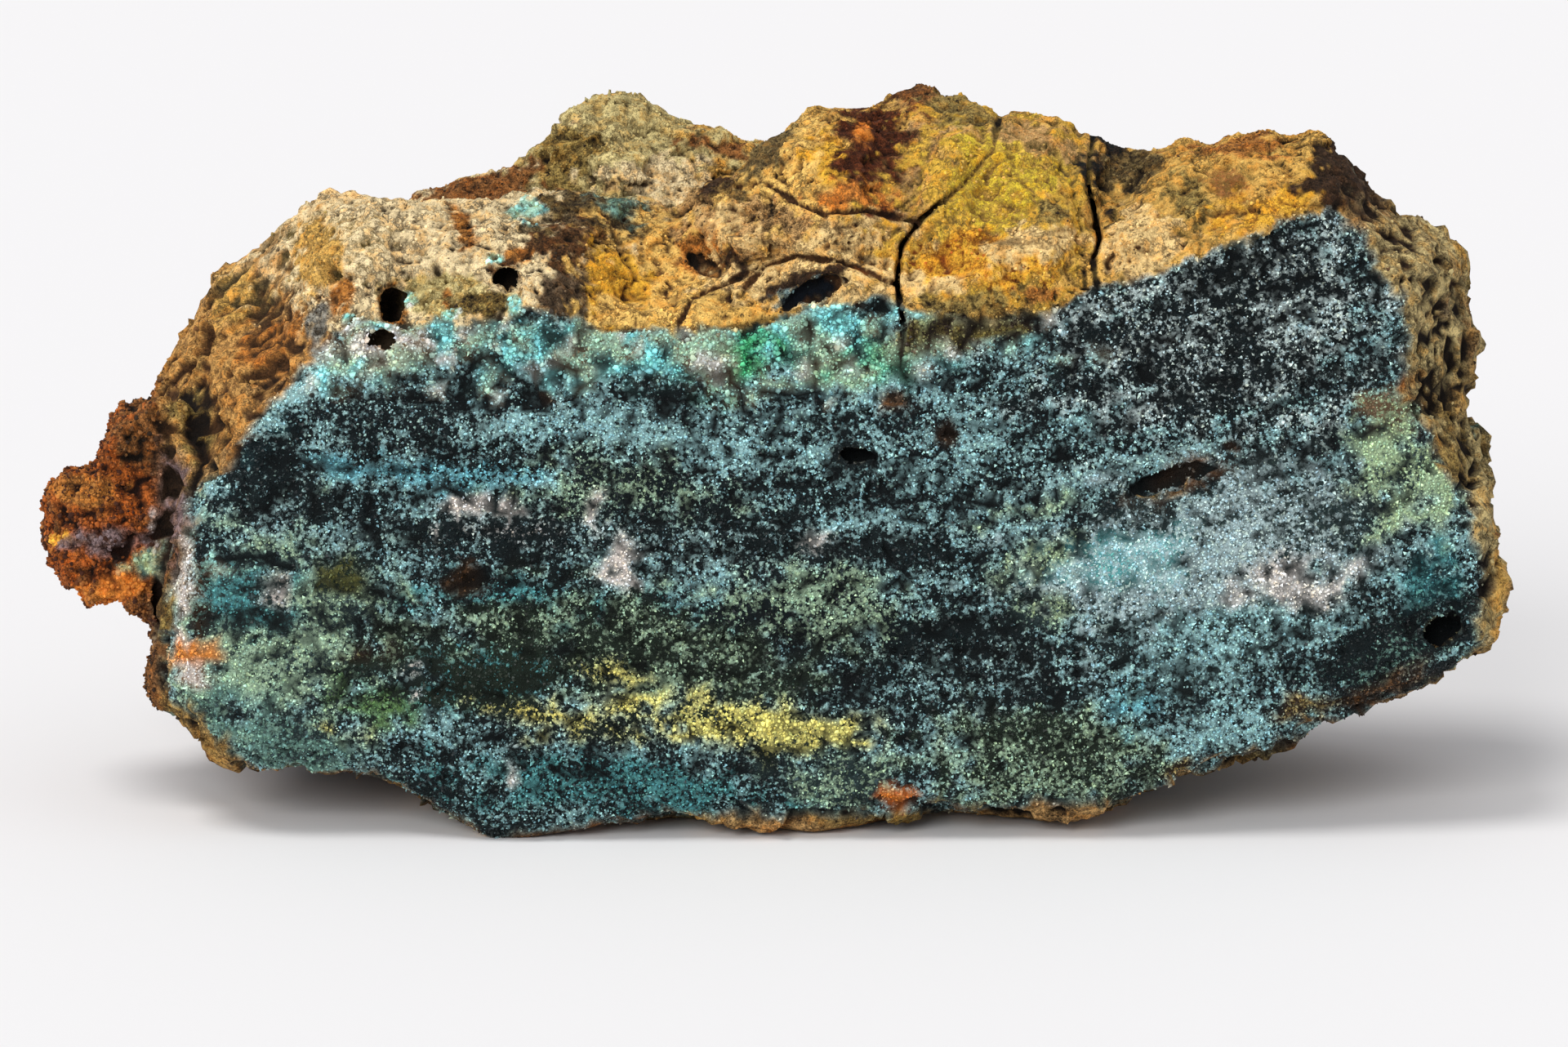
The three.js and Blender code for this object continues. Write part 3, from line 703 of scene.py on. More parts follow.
# %% Patches
CRUST_PATCHES = [
    ("turquoise band", (-14.3, 43.9), (27.3, 3.1), 1, "turquoise", "shadow_teal", 0.84),
    ("turquoise left corner", (-37.2, 41.9), (4.4, 1.9), 20, "turquoise", "shadow_teal", 0.84),
    ("white bloom round the hole", (-34.0, 44.1), (5.7, 2.0), 6, "lilac_white", "grey_brown", 0.85),
    ("green cluster", (-3.3, 42.2), (4.5, 2.6), 0, "malachite", "deep_green", 0.85),
    ("green band right", (4.3, 42.1), (5.8, 2.2), 0, "sea_green", "deep_green", 0.75),
    ("turquoise under the lens", (3.6, 45.7), (5.1, 1.9), -4, "turquoise", "shadow_teal", 0.80),
    ("green chips by the crack", (9.8, 42.8), (2.3, 2.0), 0, "sea_green", "deep_green", 0.80),
    ("pale chips right of the crack", (13.4, 44.9), (2.2, 1.4), 0, "celadon", "bottle", 0.70),
    ("pale chips far right", (21.2, 46.5), (0.9, 0.6), 0, "celadon", "bottle", 0.70),
    ("rust under the band", (-20.8, 39.2), (1.2, 0.5), 0, "rust_brown", "umber", 0.50),
    ("turquoise spot left", (-50.0, 24.5), (1.0, 1.1), 0, "turquoise", "slate", 0.70),
    ("green foot of the yellow block", (17.4, 45.4), (6.6, 1.2), 8, "moss", "umber", 0.55),
    ("pale left rim", (-45.2, 38.4), (1.9, 7.3), -32, "pale_blue", "deep_teal", 0.72),
    ("pale left rim low", (-50.5, 31.9), (1.6, 2.5), -20, "pale_blue", "deep_teal", 0.60),
    ("dark upper left", (-32.8, 37.6), (9.5, 2.5), -4, "pale_blue", "night", 0.24),
    ("dark left", (-44.5, 31.2), (5.5, 3.5), -20, "steel", "night", 0.22),
    ("blue streak", (-28.5, 32.6), (13.8, 1.2), -2, "sky", "night", 0.62),
    ("blue streak two", (-38.7, 27.2), (10.9, 0.7), -4, "pale_blue", "night", 0.50),
    ("grey blue middle", (-3.7, 35.2), (16.7, 4.4), -2, "blue_grey", "night", 0.55),
    ("grey green middle", (-13.2, 31.2), (8.7, 2.9), 0, "sage", "night", 0.42),
    ("dark band left of the hair crack", (-13.9, 27.2), (24.0, 1.7), -3, "steel", "night", 0.28),
    ("teal left of the middle", (-19.0, 20.6), (11.6, 2.2), -3, "teal", "night", 0.42),
    ("grey green lower left", (-45.2, 18.1), (8.7, 9.5), 10, "sage", "slate", 0.66),
    ("grey green foot left", (-45.2, 9.3), (8.0, 2.9), -16, "grey_teal", "slate", 0.60),
    ("teal patch left", (-47.4, 21.3), (4.4, 2.9), 0, "teal", "slate", 0.55),
    ("olive", (-38.7, 23.0), (2.4, 2.0), 10, "olive", "bottle", 0.50),
    ("brown olive", (-35.2, 16.4), (3.4, 1.3), -8, "moss", "umber", 0.42),
    ("green lower left", (-36.6, 12.1), (5.0, 2.2), -10, "leaf", "bottle", 0.55),
    ("dark middle low", (-11.7, 17.3), (18.9, 3.8), -3, "sage", "bottle", 0.36),
    ("dark foot", (-25.6, 14.4), (6.6, 2.5), 0, "teal", "bottle", 0.24),
    ("yellow band", (-3.7, 10.6), (11.6, 1.9), -4, "straw", "bottle", 0.72),
    ("yellow band left", (-18.3, 10.8), (6.6, 1.0), -10, "straw", "bottle", 0.40),
    ("yellow band foot", (2.5, 9.0), (5.5, 1.2), 14, "straw", "bottle", 0.60),
    ("yellow spots upper", (-14.3, 14.6), (3.1, 0.9), -8, "straw", "bottle", 0.45),
    ("yellow spots left", (-20.8, 8.9), (2.9, 0.6), -4, "straw", "bottle", 0.45),
    ("teal foot", (-15.4, 5.0), (15.3, 2.5), -2, "teal", "night", 0.50),
    ("grey green foot right", (4.3, 5.3), (5.8, 2.2), 0, "sage", "slate", 0.50),
    ("green grey middle right", (4.3, 20.6), (8.7, 3.2), -8, "sage", "night", 0.50),
    ("blue grey right of the crack", (18.1, 34.1), (9.5, 5.1), -4, "blue_grey", "night", 0.55),
    ("upper right dark", (41.4, 45.7), (15.7, 8.7), 18, "ice", "night", 0.42),
    ("upper right edge", (53.8, 53.0), (2.9, 5.1), 0, "steel", "night", 0.30),
    ("light ledge", (31.2, 33.3), (13.8, 0.9), 13, "pale_blue", "night", 0.60),
    ("dark diagonal", (33.4, 28.8), (7.6, 2.5), 20, "steel", "night", 0.14),
    ("brown pocket", (37.0, 32.3), (4.8, 1.2), 14, "clay", "chocolate", 0.55),
    ("pale green left of the blue", (24.0, 24.6), (4.4, 4.4), 0, "celadon", "slate", 0.58),
    ("pale blue field", (36.3, 23.9), (13.8, 5.8), 12, "powder_blue", "slate", 0.68),
    ("white blue glow", (30.5, 24.6), (6.0, 2.2), 12, "powder_blue", "teal", 0.84),
    ("pale blue field right", (47.2, 28.2), (9.5, 4.4), -10, "powder_blue", "slate", 0.66),
    ("pinkish grey", (46.2, 22.3), (5.2, 3.1), 0, "lilac_grey", "slate", 0.8),
    ("pale green right", (55.4, 33.0), (5.1, 4.5), 0, "celadon", "slate", 0.76),
    ("teal cluster right", (58.0, 23.1), (2.2, 2.4), 0, "teal", "deep_teal", 0.7),
    ("grey right", (40.0, 17.3), (9.5, 3.2), 14, "blue_grey", "slate", 0.62),
    ("dark lower right", (24.7, 7.1), (8.7, 4.4), 0, "sage", "bottle", 0.36),
    ("dark right of the middle", (18.1, 16.6), (6.6, 4.4), 0, "steel", "night", 0.24),
    ("blue spot low", (32.0, 11.8), (2.6, 2.2), 20, "sky", "night", 0.62),
    ("blue foot right", (40.0, 10.8), (8.0, 2.2), 14, "blue_grey", "night", 0.50),
    ("dark far right", (55.6, 16.6), (7.3, 2.6), 22, "grey_teal", "night", 0.24),
    ("green patch corner", (54.5, 38.4), (3.3, 1.6), -14, "celadon", "grey_brown", 0.50),
    ("brown stain by the crack", (10.8, 39.0), (1.9, 0.7), 0, "clay", "umber", 0.50),
    ("small brown hole", (15.2, 36.3), (1.0, 0.7), 0, "clay", "umber", 0.20),
    ("dark by the hair crack", (6.8, 34.1), (1.7, 1.0), 0, "umber", "night", 0.10),
    ("pinkish spot left of the crack", (3.6, 26.4), (1.2, 0.7), 0, "lilac_grey", "slate", 0.70),
    ("white patch one", (-28.0, 29.8), (2.2, 0.9), 8, "chalk", "slate", 0.96),
    ("white patch two", (-24.0, 29.4), (1.3, 0.7), 0, "chalk", "slate", 0.96),
    ("white patch three", (-29.9, 27.4), (1.7, 0.4), 16, "chalk", "slate", 0.96),
    ("white patch four", (-13.9, 24.6), (1.9, 2.5), 14, "chalk", "slate", 0.96),
    ("white patch five", (-16.2, 29.6), (0.5, 1.9), -6, "chalk", "slate", 0.96),
    ("white patch six", (-22.6, 27.5), (4.4, 0.6), 0, "lilac_grey", "night", 0.40),
    ("white specks left", (-44.5, 22.3), (0.7, 1.7), -6, "chalk", "slate", 0.60),
    ("white specks foot", (-23.5, 6.6), (0.5, 1.7), 0, "chalk", "slate", 0.60),
    ("white specks left foot", (-32.0, 13.8), (0.6, 2.2), 10, "chalk", "slate", 0.50),
    ("brown pock", (-27.7, 23.0), (2.0, 1.3), 18, "clay", "umber", 0.40),
    ("white stripe at the left edge", (-53.1, 24.6), (0.9, 6.7), 4, "chalk", "grey_brown", 0.86),
    ("dark beside the stripe", (-51.4, 21.7), (0.7, 4.4), 4, "grey_teal", "umber", 0.40),
    ("orange spot left", (-52.8, 16.6), (2.2, 0.8), 6, "orange", "clay", 0.80),
    ("orange grey foot left", (-52.3, 14.7), (1.6, 0.9), 0, "lilac_grey", "clay", 0.60),
    ("yellow foot left", (-37.9, 9.6), (2.6, 0.4), -6, "straw", "bottle", 0.50),
    ("orange spot foot", (10.5, 3.7), (1.3, 0.8), 0, "orange", "rust", 0.80),
    ("pink foot", (25.8, 2.5), (2.5, 0.6), 0, "lilac_grey", "clay", 0.70),
    ("khaki foot right", (46.5, 11.8), (2.8, 0.8), 16, "khaki", "umber", 0.50),
    ("khaki foot right two", (36.0, 6.3), (1.3, 0.6), 16, "khaki", "umber", 0.50),
    ("brown foot right", (53.1, 13.3), (4.4, 0.9), 22, "clay", "umber", 0.50),
    ("dark pocket right", (59.5, 18.4), (1.7, 1.0), 0, "umber", "night", 0.20),
]

RIND_PATCHES = [
    ("left flank", (-49.6, 44.3), (7.3, 12.4), -32, "honey", "clay", 0.62),
    ("left flank mauve", (-54.4, 31.0), (1.8, 5.0), 8, "mauve_grey", "chocolate", 0.60),
    ("left flank shoulder", (-43.8, 53.0), (3.6, 4.4), -30, "tan", "khaki_brown", 0.66),
    ("left flank olive", (-48.0, 49.0), (2.5, 2.5), 0, "ochre", "khaki_brown", 0.60),
    ("left flank olive low", (-51.9, 37.0), (1.6, 3.2), 0, "khaki", "umber", 0.50),
    ("left flank orange", (-45.2, 44.3), (2.2, 2.9), -30, "orange_brown", "clay", 0.60),
    ("cream rind", (-30.6, 52.3), (13.5, 5.2), 0, "cream", "grey_brown", 0.85),
    ("cream left", (-40.1, 53.0), (4.4, 3.6), -20, "cream", "khaki", 0.70),
    ("cream green tinge", (-29.9, 48.6), (4.4, 2.2), 0, "celadon_cream", "khaki", 0.70),
    ("cream rust", (-28.0, 54.8), (0.8, 1.8), 20, "orange_brown", "umber", 0.60),
    ("cream rust two", (-38.6, 48.3), (1.4, 1.6), 0, "orange_brown", "clay", 0.70),
    ("cream gold left", (-40.8, 52.2), (1.9, 2.8), 10, "ochre", "khaki_brown", 0.66),
    ("cream tan right", (-22.9, 52.2), (1.4, 0.8), 0, "orange_brown", "clay", 0.66),
    ("cream rust by the fleck", (-29.4, 47.7), (0.5, 0.9), 0, "orange_brown", "umber", 0.66),
    ("inside the cream hole", (-34.3, 47.6), (1.4, 1.6), 0, "orange_brown", "umber", 0.50),
    ("inside the hump's hole", (-24.1, 50.1), (1.3, 1.1), 0, "clay", "umber", 0.50),
    ("grey stripe", (-40.9, 46.3), (1.0, 2.2), -6, "ash", "umber", 0.60),
    ("cream brown right", (-19.0, 48.6), (2.5, 2.9), -20, "grey_brown", "umber", 0.60),
    ("brown cave", (-26.3, 47.8), (2.5, 1.0), 0, "khaki", "umber", 0.40),
    ("dark ledge", (-16.2, 55.8), (6.6, 1.9), -8, "khaki_brown", "umber", 0.36),
    ("dark ledge low", (-18.3, 53.0), (3.6, 1.9), 0, "clay", "umber", 0.45),
    ("fleck by the cream hole", (-32.8, 48.1), (0.7, 0.5), 30, "turquoise", "khaki", 0.92),
    ("fleck right of it", (-29.3, 46.8), (0.7, 0.4), 20, "turquoise", "khaki", 0.92),
    ("fleck at the turquoise's edge", (-23.3, 47.5), (0.5, 0.8), 0, "turquoise", "khaki", 0.92),
    ("fleck above the hump's hole", (-25.1, 51.8), (0.6, 0.4), 0, "turquoise", "khaki", 0.92),
    ("fleck far left", (-37.9, 46.3), (0.6, 0.4), 0, "turquoise", "khaki", 0.92),
    ("turquoise on the ledge", (-21.5, 56.1), (1.5, 0.9), 10, "turquoise", "chocolate", 0.70),
    ("grey teal on the ledge", (-13.2, 56.3), (2.9, 1.2), -14, "grey_teal", "chocolate", 0.55),
    ("ochre dish", (-9.5, 50.5), (6.4, 5.2), -8, "wheat", "clay", 0.86),
    ("gold in the dish", (-13.3, 49.2), (3.1, 3.2), -20, "gold", "clay", 0.85),
    ("orange in the dish", (-7.0, 52.3), (2.9, 1.9), -20, "orange_brown", "umber", 0.62),
    ("dish foot", (-11.0, 46.8), (5.8, 1.5), 0, "wheat", "clay", 0.86),
    ("brown right of the dish", (-3.7, 50.8), (1.9, 2.6), -20, "chocolate", "umber", 0.50),
    ("tan lip", (-5.2, 56.3), (4.4, 2.9), -20, "tan", "umber", 0.66),
    ("brown knob", (-5.3, 57.9), (1.9, 1.3), 0, "chocolate", "umber", 0.60),
    ("ochre lens", (3.6, 50.1), (7.3, 2.8), 0, "sand", "clay", 0.84),
    ("brown rim of the slot", (3.0, 50.1), (3.9, 0.6), 20, "chocolate", "umber", 0.50),
    ("blue black in the slot", (3.1, 48.9), (3.5, 0.8), 20, "steel", "blue_black", 0.10),
    ("middle band", (4.3, 54.5), (8.0, 2.6), -6, "sand", "clay", 0.80),
    ("middle band brown", (0.7, 55.2), (4.4, 1.5), -6, "tan", "umber", 0.55),
    ("boss", (2.5, 60.3), (5.2, 5.1), 0, "wheat", "clay", 0.80),
    ("boss brown rim", (-1.4, 61.0), (1.8, 3.6), -30, "khaki_brown", "umber", 0.60),
    ("boss gold", (5.0, 59.9), (2.5, 2.5), 0, "gold", "clay", 0.80),
    ("boss right", (15.2, 61.4), (4.8, 4.8), 0, "tan", "khaki_brown", 0.74),
    ("boss grey peak", (15.6, 65.4), (3.3, 1.9), -20, "khaki", "umber", 0.60),
    ("rust peak", (12.3, 66.8), (2.2, 1.7), 0, "rust_brown", "umber", 0.50),
    ("rust furrow", (8.8, 61.4), (3.4, 5.2), 6, "red_brown", "oxblood", 0.45),
    ("orange in the furrow", (7.6, 63.2), (0.8, 1.1), 0, "orange", "rust", 0.80),
    ("orange foot of the furrow", (7.2, 57.4), (3.2, 1.0), 0, "orange", "rust_brown", 0.60),
    ("yellow block", (19.7, 55.8), (8.2, 8.2), 0, "yellow_ochre", "khaki", 0.84),
    ("lemon on the block", (20.3, 58.4), (4.6, 4.6), 0, "lemon", "ochre", 0.56),
    ("block rim", (24.0, 62.1), (4.4, 1.5), -20, "tan", "khaki", 0.70),
    ("orange on the block", (18.1, 51.4), (6.4, 2.5), 0, "gold", "rust", 0.66),
    ("sand on the block", (23.2, 53.0), (3.6, 1.5), 6, "sand", "clay", 0.85),
    ("grey green on the block", (24.3, 55.8), (2.2, 1.2), 20, "khaki", "umber", 0.50),
    ("sand foot of the block", (14.5, 49.7), (3.6, 1.0), 0, "sand", "clay", 0.85),
    ("rust foot of the block", (23.1, 48.7), (1.9, 0.9), 0, "orange_brown", "umber", 0.60),
    ("green foot of the block", (16.7, 47.3), (5.1, 1.2), 6, "khaki", "umber", 0.60),
    ("gully", (30.4, 57.4), (2.2, 4.7), 8, "chocolate", "night", 0.30),
    ("gully green", (31.6, 59.2), (2.2, 1.7), 0, "khaki_brown", "umber", 0.50),
    ("right facet", (37.8, 56.3), (8.6, 3.9), 16, "ochre", "khaki", 0.84),
    ("right facet sand", (32.7, 53.0), (3.2, 2.9), 20, "sand", "clay", 0.86),
    ("right facet green", (36.7, 57.5), (1.7, 1.9), 10, "khaki", "umber", 0.60),
    ("right facet rust", (40.1, 58.2), (1.7, 1.3), 0, "rust_brown", "ochre", 0.60),
    ("right facet foot", (44.3, 56.6), (4.4, 1.7), 14, "gold", "orange_brown", 0.80),
    ("right top rim", (41.4, 61.9), (5.1, 1.0), 0, "orange_brown", "umber", 0.60),
    ("brown corner", (50.0, 59.4), (3.2, 3.3), 0, "chocolate", "umber", 0.50),
    ("right flank top", (57.1, 51.9), (4.4, 6.3), -28, "olive_tan", "chocolate", 0.62),
    ("right flank middle", (59.0, 43.5), (3.2, 5.8), 0, "olive_tan", "umber", 0.60),
    ("right flank foot", (63.4, 27.5), (2.2, 13.1), 0, "olive_tan", "umber", 0.60),
    ("right edge sand", (64.6, 22.4), (0.7, 6.6), 0, "ochre", "clay", 0.70),
]

RIDGE_PATCHES = [
    ("ridge", (-15.4, 61.7), (10.9, 6.6), 0, "celadon_cream", "khaki_brown", 0.72),
    ("ridge left foot", (-26.3, 57.9), (7.3, 1.7), 10, "rust_brown", "umber", 0.60),
    ("ridge knob", (-14.3, 64.6), (4.4, 2.9), 0, "celadon_cream", "khaki_brown", 0.72),
    ("ridge yellow", (-18.3, 61.0), (2.5, 2.5), 0, "khaki", "umber", 0.60),
    ("ridge cream", (-9.5, 58.7), (5.1, 2.0), 0, "cream", "grey_brown", 0.75),
    ("ridge rust", (-4.6, 61.6), (2.9, 1.2), -14, "rust_brown", "umber", 0.60),
]

GOSSAN_PATCHES = [
    ("gossan", (-60.1, 29.7), (6.6, 9.5), 0, "rust", "oxblood", 0.52),
    ("gossan top", (-56.5, 36.3), (2.5, 3.2), -30, "rust_brown", "umber", 0.55),
    ("gossan gold", (-63.8, 26.6), (1.0, 0.7), 0, "gold", "rust", 0.80),
    ("gossan gold two", (-60.0, 26.4), (0.9, 0.5), 0, "orange", "rust", 0.80),
    ("gossan gold three", (-62.0, 31.2), (2.5, 1.5), 0, "orange_brown", "oxblood", 0.60),
    ("gossan pale", (-56.7, 24.5), (2.3, 1.2), 8, "celadon", "grey_teal", 0.90),
    ("gossan grey", (-55.4, 27.2), (0.7, 1.6), 0, "lilac_grey", "umber", 0.70),
    ("gossan mauve band", (-58.9, 26.8), (3.9, 0.9), 0, "mauve_grey", "oxblood", 0.60),
    ("gossan foot", (-59.0, 22.3), (3.5, 1.2), 10, "orange", "rust", 0.80),
    ("flank foot", (-55.4, 13.7), (1.3, 3.6), 0, "rust_brown", "umber", 0.50),
]
PATCH_TABLES = (CRUST_PATCHES, RIND_PATCHES, RIDGE_PATCHES, GOSSAN_PATCHES)
print(sum(len(table) for table in PATCH_TABLES), "patches")

# %% [markdown]
# Nature has no clean ellipses. Each patch's edge is pushed in and out by noise until it is ragged, and
# the next patch uses another part of the noise. On the crust it is drawn out along the flutes, because
# the crystals there grew in streaks. The hidden sides have no patches: they get the brown rock's own
# mix of tan, rust and grey, which only noise places.

# %% Lay the patches on the skin
SOFT_EDGE = 0.5
RAGGEDNESS = 1.0
GRAININESS = 0.8


def patch_share(patch, zones, ragged, grainy):
    _, middle, half, slant, *_ = patch
    reach = reach_from(middle, half, slant, zones) + RAGGEDNESS * ragged + GRAININESS * grainy
    return 1 - ramp(reach, 1 - SOFT_EDGE / 2, 1 + SOFT_EDGE / 2)


def lay(sheets, share, light, dark, cover):
    """Lays a colour pair over what is there, by its share at each point."""
    sheets["light"] += share[:, None] * (PALETTE[light] - sheets["light"])
    sheets["dark"] += share[:, None] * (PALETTE[dark] - sheets["dark"])
    sheets["cover"] += share * (cover - sheets["cover"])


def ragged_fields(points, zones):
    flow = flow_of(zones["across"], zones["up"])
    streaked = np.stack([zones["across"] / 4.5, zones["away"], flow], axis=1)
    plain = [fractal(points + 40 * turn, 2.6, 70 + turn) for turn in range(4)]
    along = [fractal(streaked + 40 * turn, 1.3, 80 + turn) for turn in range(4)]
    return plain, along


def ground_colours(points, zones, sheets):
    """The colours under the patches."""
    everywhere = np.ones(len(points))
    lay(sheets, everywhere, "tan", "umber", 0.5)
    lay(sheets, ramp(fractal(points, 11, 90), -0.15, 0.3), "khaki", "umber", 0.5)
    lay(sheets, ramp(fractal(points, 14, 91), 0.0, 0.4), "rust_brown", "umber", 0.46)
    lay(sheets, ramp(fractal(points, 9, 92), 0.15, 0.45), "grey_brown", "chocolate", 0.5)
    lay(sheets, ramp(fractal(points, 7, 93), 0.22, 0.5), "ochre", "clay", 0.62)
    lay(sheets, ramp(fractal(points, 6, 94), 0.36, 0.56), "orange_brown", "umber", 0.55)
    lay(sheets, ramp(fractal(points, 8, 95), 0.34, 0.52), "grey_teal", "chocolate", 0.5)
    lay(sheets, zones["block"], "ochre", "umber", 0.74)
    lay(sheets, zones["cream"], "cream", "grey_brown", 0.75)
    lay(sheets, zones["gossan"], "rust_brown", "oxblood", 0.5)
    lay(sheets, zones["crust"], "blue_grey", "night", 0.42)


GROWTH = {"straw": "crumbs", "turquoise": "chips", "malachite": "chips", "sea_green": "chips"}


def lay_patches(points, zones, sheets):
    """Lays every patch on its kind of rock, and says where chips and yellow crumbs grow."""
    masks = {kind: np.zeros(len(points)) for kind in set(GROWTH.values())}
    plain, along = ragged_fields(points, zones)
    grainy = [fractal(points + 40 * turn, 0.9, 86 + turn, 2) for turn in range(3)]
    front = 1 - ramp(zones["away"], 22, 27)
    reaches = (
        zones["crust"],
        (1 - zones["crust"]) * (1 - zones["gossan"]) * front * ramp(zones["facing"], -0.6, -0.2),
        ramp(zones["away"], 17, 20) * (1 - ramp(zones["away"], 44, 50)) * ramp(zones["up"], 49, 52),
        zones["gossan"],
    )
    for table, reach in zip(PATCH_TABLES, reaches):
        fields = along if table is CRUST_PATCHES else plain
        for index, patch in enumerate(table):
            *_, light, dark, cover = patch
            ragged = fields[index % len(fields)]
            share = reach * patch_share(patch, zones, ragged, grainy[index % len(grainy)])
            lay(sheets, share, light, dark, cover)
            if light in GROWTH:
                masks[GROWTH[light]] = np.maximum(masks[GROWTH[light]], share * cover)
    return masks


def colour(points, zones):
    """The light colour, the dark colour and the cover at each point, and the masks of what grows."""
    count = len(points)
    sheets = {"light": np.zeros((count, 3)), "dark": np.zeros((count, 3)), "cover": np.zeros(count)}
    ground_colours(points, zones, sheets)
    masks = lay_patches(points, zones, sheets)
    grit = masks["chips"] * ramp(fractal(points, 2.1, 98), -0.08, 0.08)
    lay(sheets, grit, "sage", "grey_brown", 0.74)
    lay(sheets, grit * ramp(fractal(points, 1.6, 99), 0.1, 0.3), "lilac_white", "ash", 0.8)
    masks["chips"] *= 1 - 0.7 * grit
    flow = flow_of(zones["across"], zones["up"])
    streaks = np.stack([zones["across"] / 10, zones["away"] / 4, flow / 0.9], axis=1)
    sheets["cover"] += zones["crust"] * (0.24 * noise(streaks, 1, 3) + 0.36 * fractal(points, 2.4, 97))
    sheets["cover"] = np.clip(sheets["cover"], 0.02, 0.98)
    return sheets, masks


def keep_on(mesh, name, values):
    """Keeps values, one to a point, on the mesh as an attribute that shaders and node trees can read."""
    if values.ndim == 2:
        attribute = mesh.attributes.new(name, "FLOAT_COLOR", "POINT")
        values = np.hstack([values, np.ones((len(values), 1))])
        attribute.data.foreach_set("color", values.ravel())
    else:
        attribute = mesh.attributes.new(name, "FLOAT", "POINT")
        attribute.data.foreach_set("value", values)


places = places_of(skin)
edges = edges_of(skin)
normals = normals_of(skin)
zones = zones_of(places, normals)
sheets, masks = colour(places, zones)
# The hollow attribute: how far each place sinks below its neighbours, and at least as much in cracks and
# holes. The finishes paint shade with it, darker in hollows and a little lighter on ridges.
fine_hollow = np.sum((eased(places, edges, 3) - places) * normals, axis=1)
wide_hollow = np.sum((eased(places, edges, 30) - places) * normals, axis=1)
shade = np.clip(3.0 * fine_hollow + 0.8 * wide_hollow, -0.4, 1)
shade = np.maximum(shade, np.maximum(zones["crack"], 0.4 * zones["hole"]))
for name, values in sheets.items():
    keep_on(skin, name, values)
keep_on(skin, "hollow", shade)
keep_on(skin, "crust", zones["crust"])
print("Mean cover", round(float(sheets["cover"].mean()), 2))
print("Mean hollow", round(float(shade.mean()), 3))

# %% [markdown]
# Shader maths is easier to read as sums than as wires. One small class stands for a node's output, and
# Python's operators on it add the Math nodes. Every other node comes from one method, which takes the
# node's type, its settings and what goes into its sockets. The same two classes build the node trees
# that scatter crystals.

# %% Node trees as expressions
class Output:
    """One output of a node, which operators combine into Math nodes."""

    def __init__(self, graph, socket):
        self.graph = graph
        self.socket = socket

    def math(self, operation, a, b):
        return self.graph.add("ShaderNodeMath", {0: a, 1: b}, operation=operation)

    def __add__(self, other):
        return self.math("ADD", self, other)

    def __sub__(self, other):
        return self.math("SUBTRACT", self, other)

    def __mul__(self, other):
        return self.math("MULTIPLY", self, other)

    def __radd__(self, other):
        return self.math("ADD", other, self)

    def __rsub__(self, other):
        return self.math("SUBTRACT", other, self)

    def __rmul__(self, other):
        return self.math("MULTIPLY", other, self)

    def within(self, low=0.0, high=1.0):
        return self.math("MINIMUM", self.math("MAXIMUM", self, low), high)


class Graph:
    """A tree of nodes."""

    def __init__(self, tree):
        self.tree = tree

    def add(self, kind, inputs=None, out=0, **settings):
        """Adds a node, with its settings first and then its inputs, and gives one of its outputs."""
        node = self.tree.nodes.new(kind)
        for key, value in settings.items():
            setattr(node, key, value)
        for key, value in (inputs or {}).items():
            if isinstance(value, Output):
                self.tree.links.new(value.socket, node.inputs[key])
            else:
                node.inputs[key].default_value = value
        return Output(self, node.outputs[out]) if node.outputs else node


class Finish(Graph):
    """A material, started with the nodes that every finish of this stone needs."""

    def __init__(self, name):
        self.material = bpy.data.materials.new(name)
        self.material.use_nodes = True
        super().__init__(self.material.node_tree)
        self.surface = self.tree.nodes["Principled BSDF"]
        self.place = self.add("ShaderNodeTexCoord", out="Object")

    def number(self, name):
        return self.add("ShaderNodeAttribute", out="Fac", attribute_name=name)

    def colour(self, name):
        return self.add("ShaderNodeAttribute", out="Color", attribute_name=name)

    def noise(self, size_mm, detail=2.0, roughness=0.6):
        scale = 1 / (size_mm * MM)
        inputs = {"Vector": self.place, "Scale": scale, "Detail": detail, "Roughness": roughness}
        return self.add("ShaderNodeTexNoise", inputs, out="Fac")

    def mix(self, share, a, b, blend="MIX"):
        inputs = {0: share, 6: a, 7: b}
        return self.add("ShaderNodeMix", inputs, out=2, data_type="RGBA", blend_type=blend)

    def dim(self, colour, amount):
        """A colour times a number."""
        return self.add("ShaderNodeVectorMath", {0: colour, "Scale": amount}, operation="SCALE")

    def feed(self, name, value):
        if isinstance(value, Output):
            self.tree.links.new(value.socket, self.surface.inputs[name])
        else:
            self.surface.inputs[name].default_value = value

    def bump(self, height, strength, depth_mm):
        inputs = {"Height": height, "Strength": strength, "Distance": depth_mm * MM}
        self.feed("Normal", self.add("ShaderNodeBump", inputs))


print("Nodes are wrapped by", Output.__name__, "and", Graph.__name__)

# %% [markdown]
# The skin's finish turns the two colours and their cover into grains. On the crust each grain is a cell,
# pale in the middle and dark at its rim. Grains of one colour stand in tufts, though not all of them, and
# the cover says how many are pale. The earthy rock has stains of many sizes instead, which run into each
# other, with veins and pepper-black pin holes. Hollows, cracks and holes are painted with the dark colour
# and a darker tone, and ridges a little lighter: painted shade and painted light. The tone also follows
# the low and high places of the bump, as painted shade of the relief.

# %% The skin's finish
WARM_STAIN = (1.0, 0.76, 0.48, 1)
TUFT_SIZE = 0.5
GRAIN_SIZE = 0.4


def tufts(finish):
    """How crystals cluster: noise with flakes under a millimetre wide, spread evenly from 0 to 1."""
    return 0.5 + 1.7 * (finish.noise(TUFT_SIZE, 3, 0.7) - 0.5)


def paleness(finish, rank, contrast):
    """1 for a grain that takes the light colour, 0 for the dark one. The lowest ranks are pale first."""
    return ((finish.number("cover") * 1.15 - 0.075 - rank) * contrast + 0.5).within()


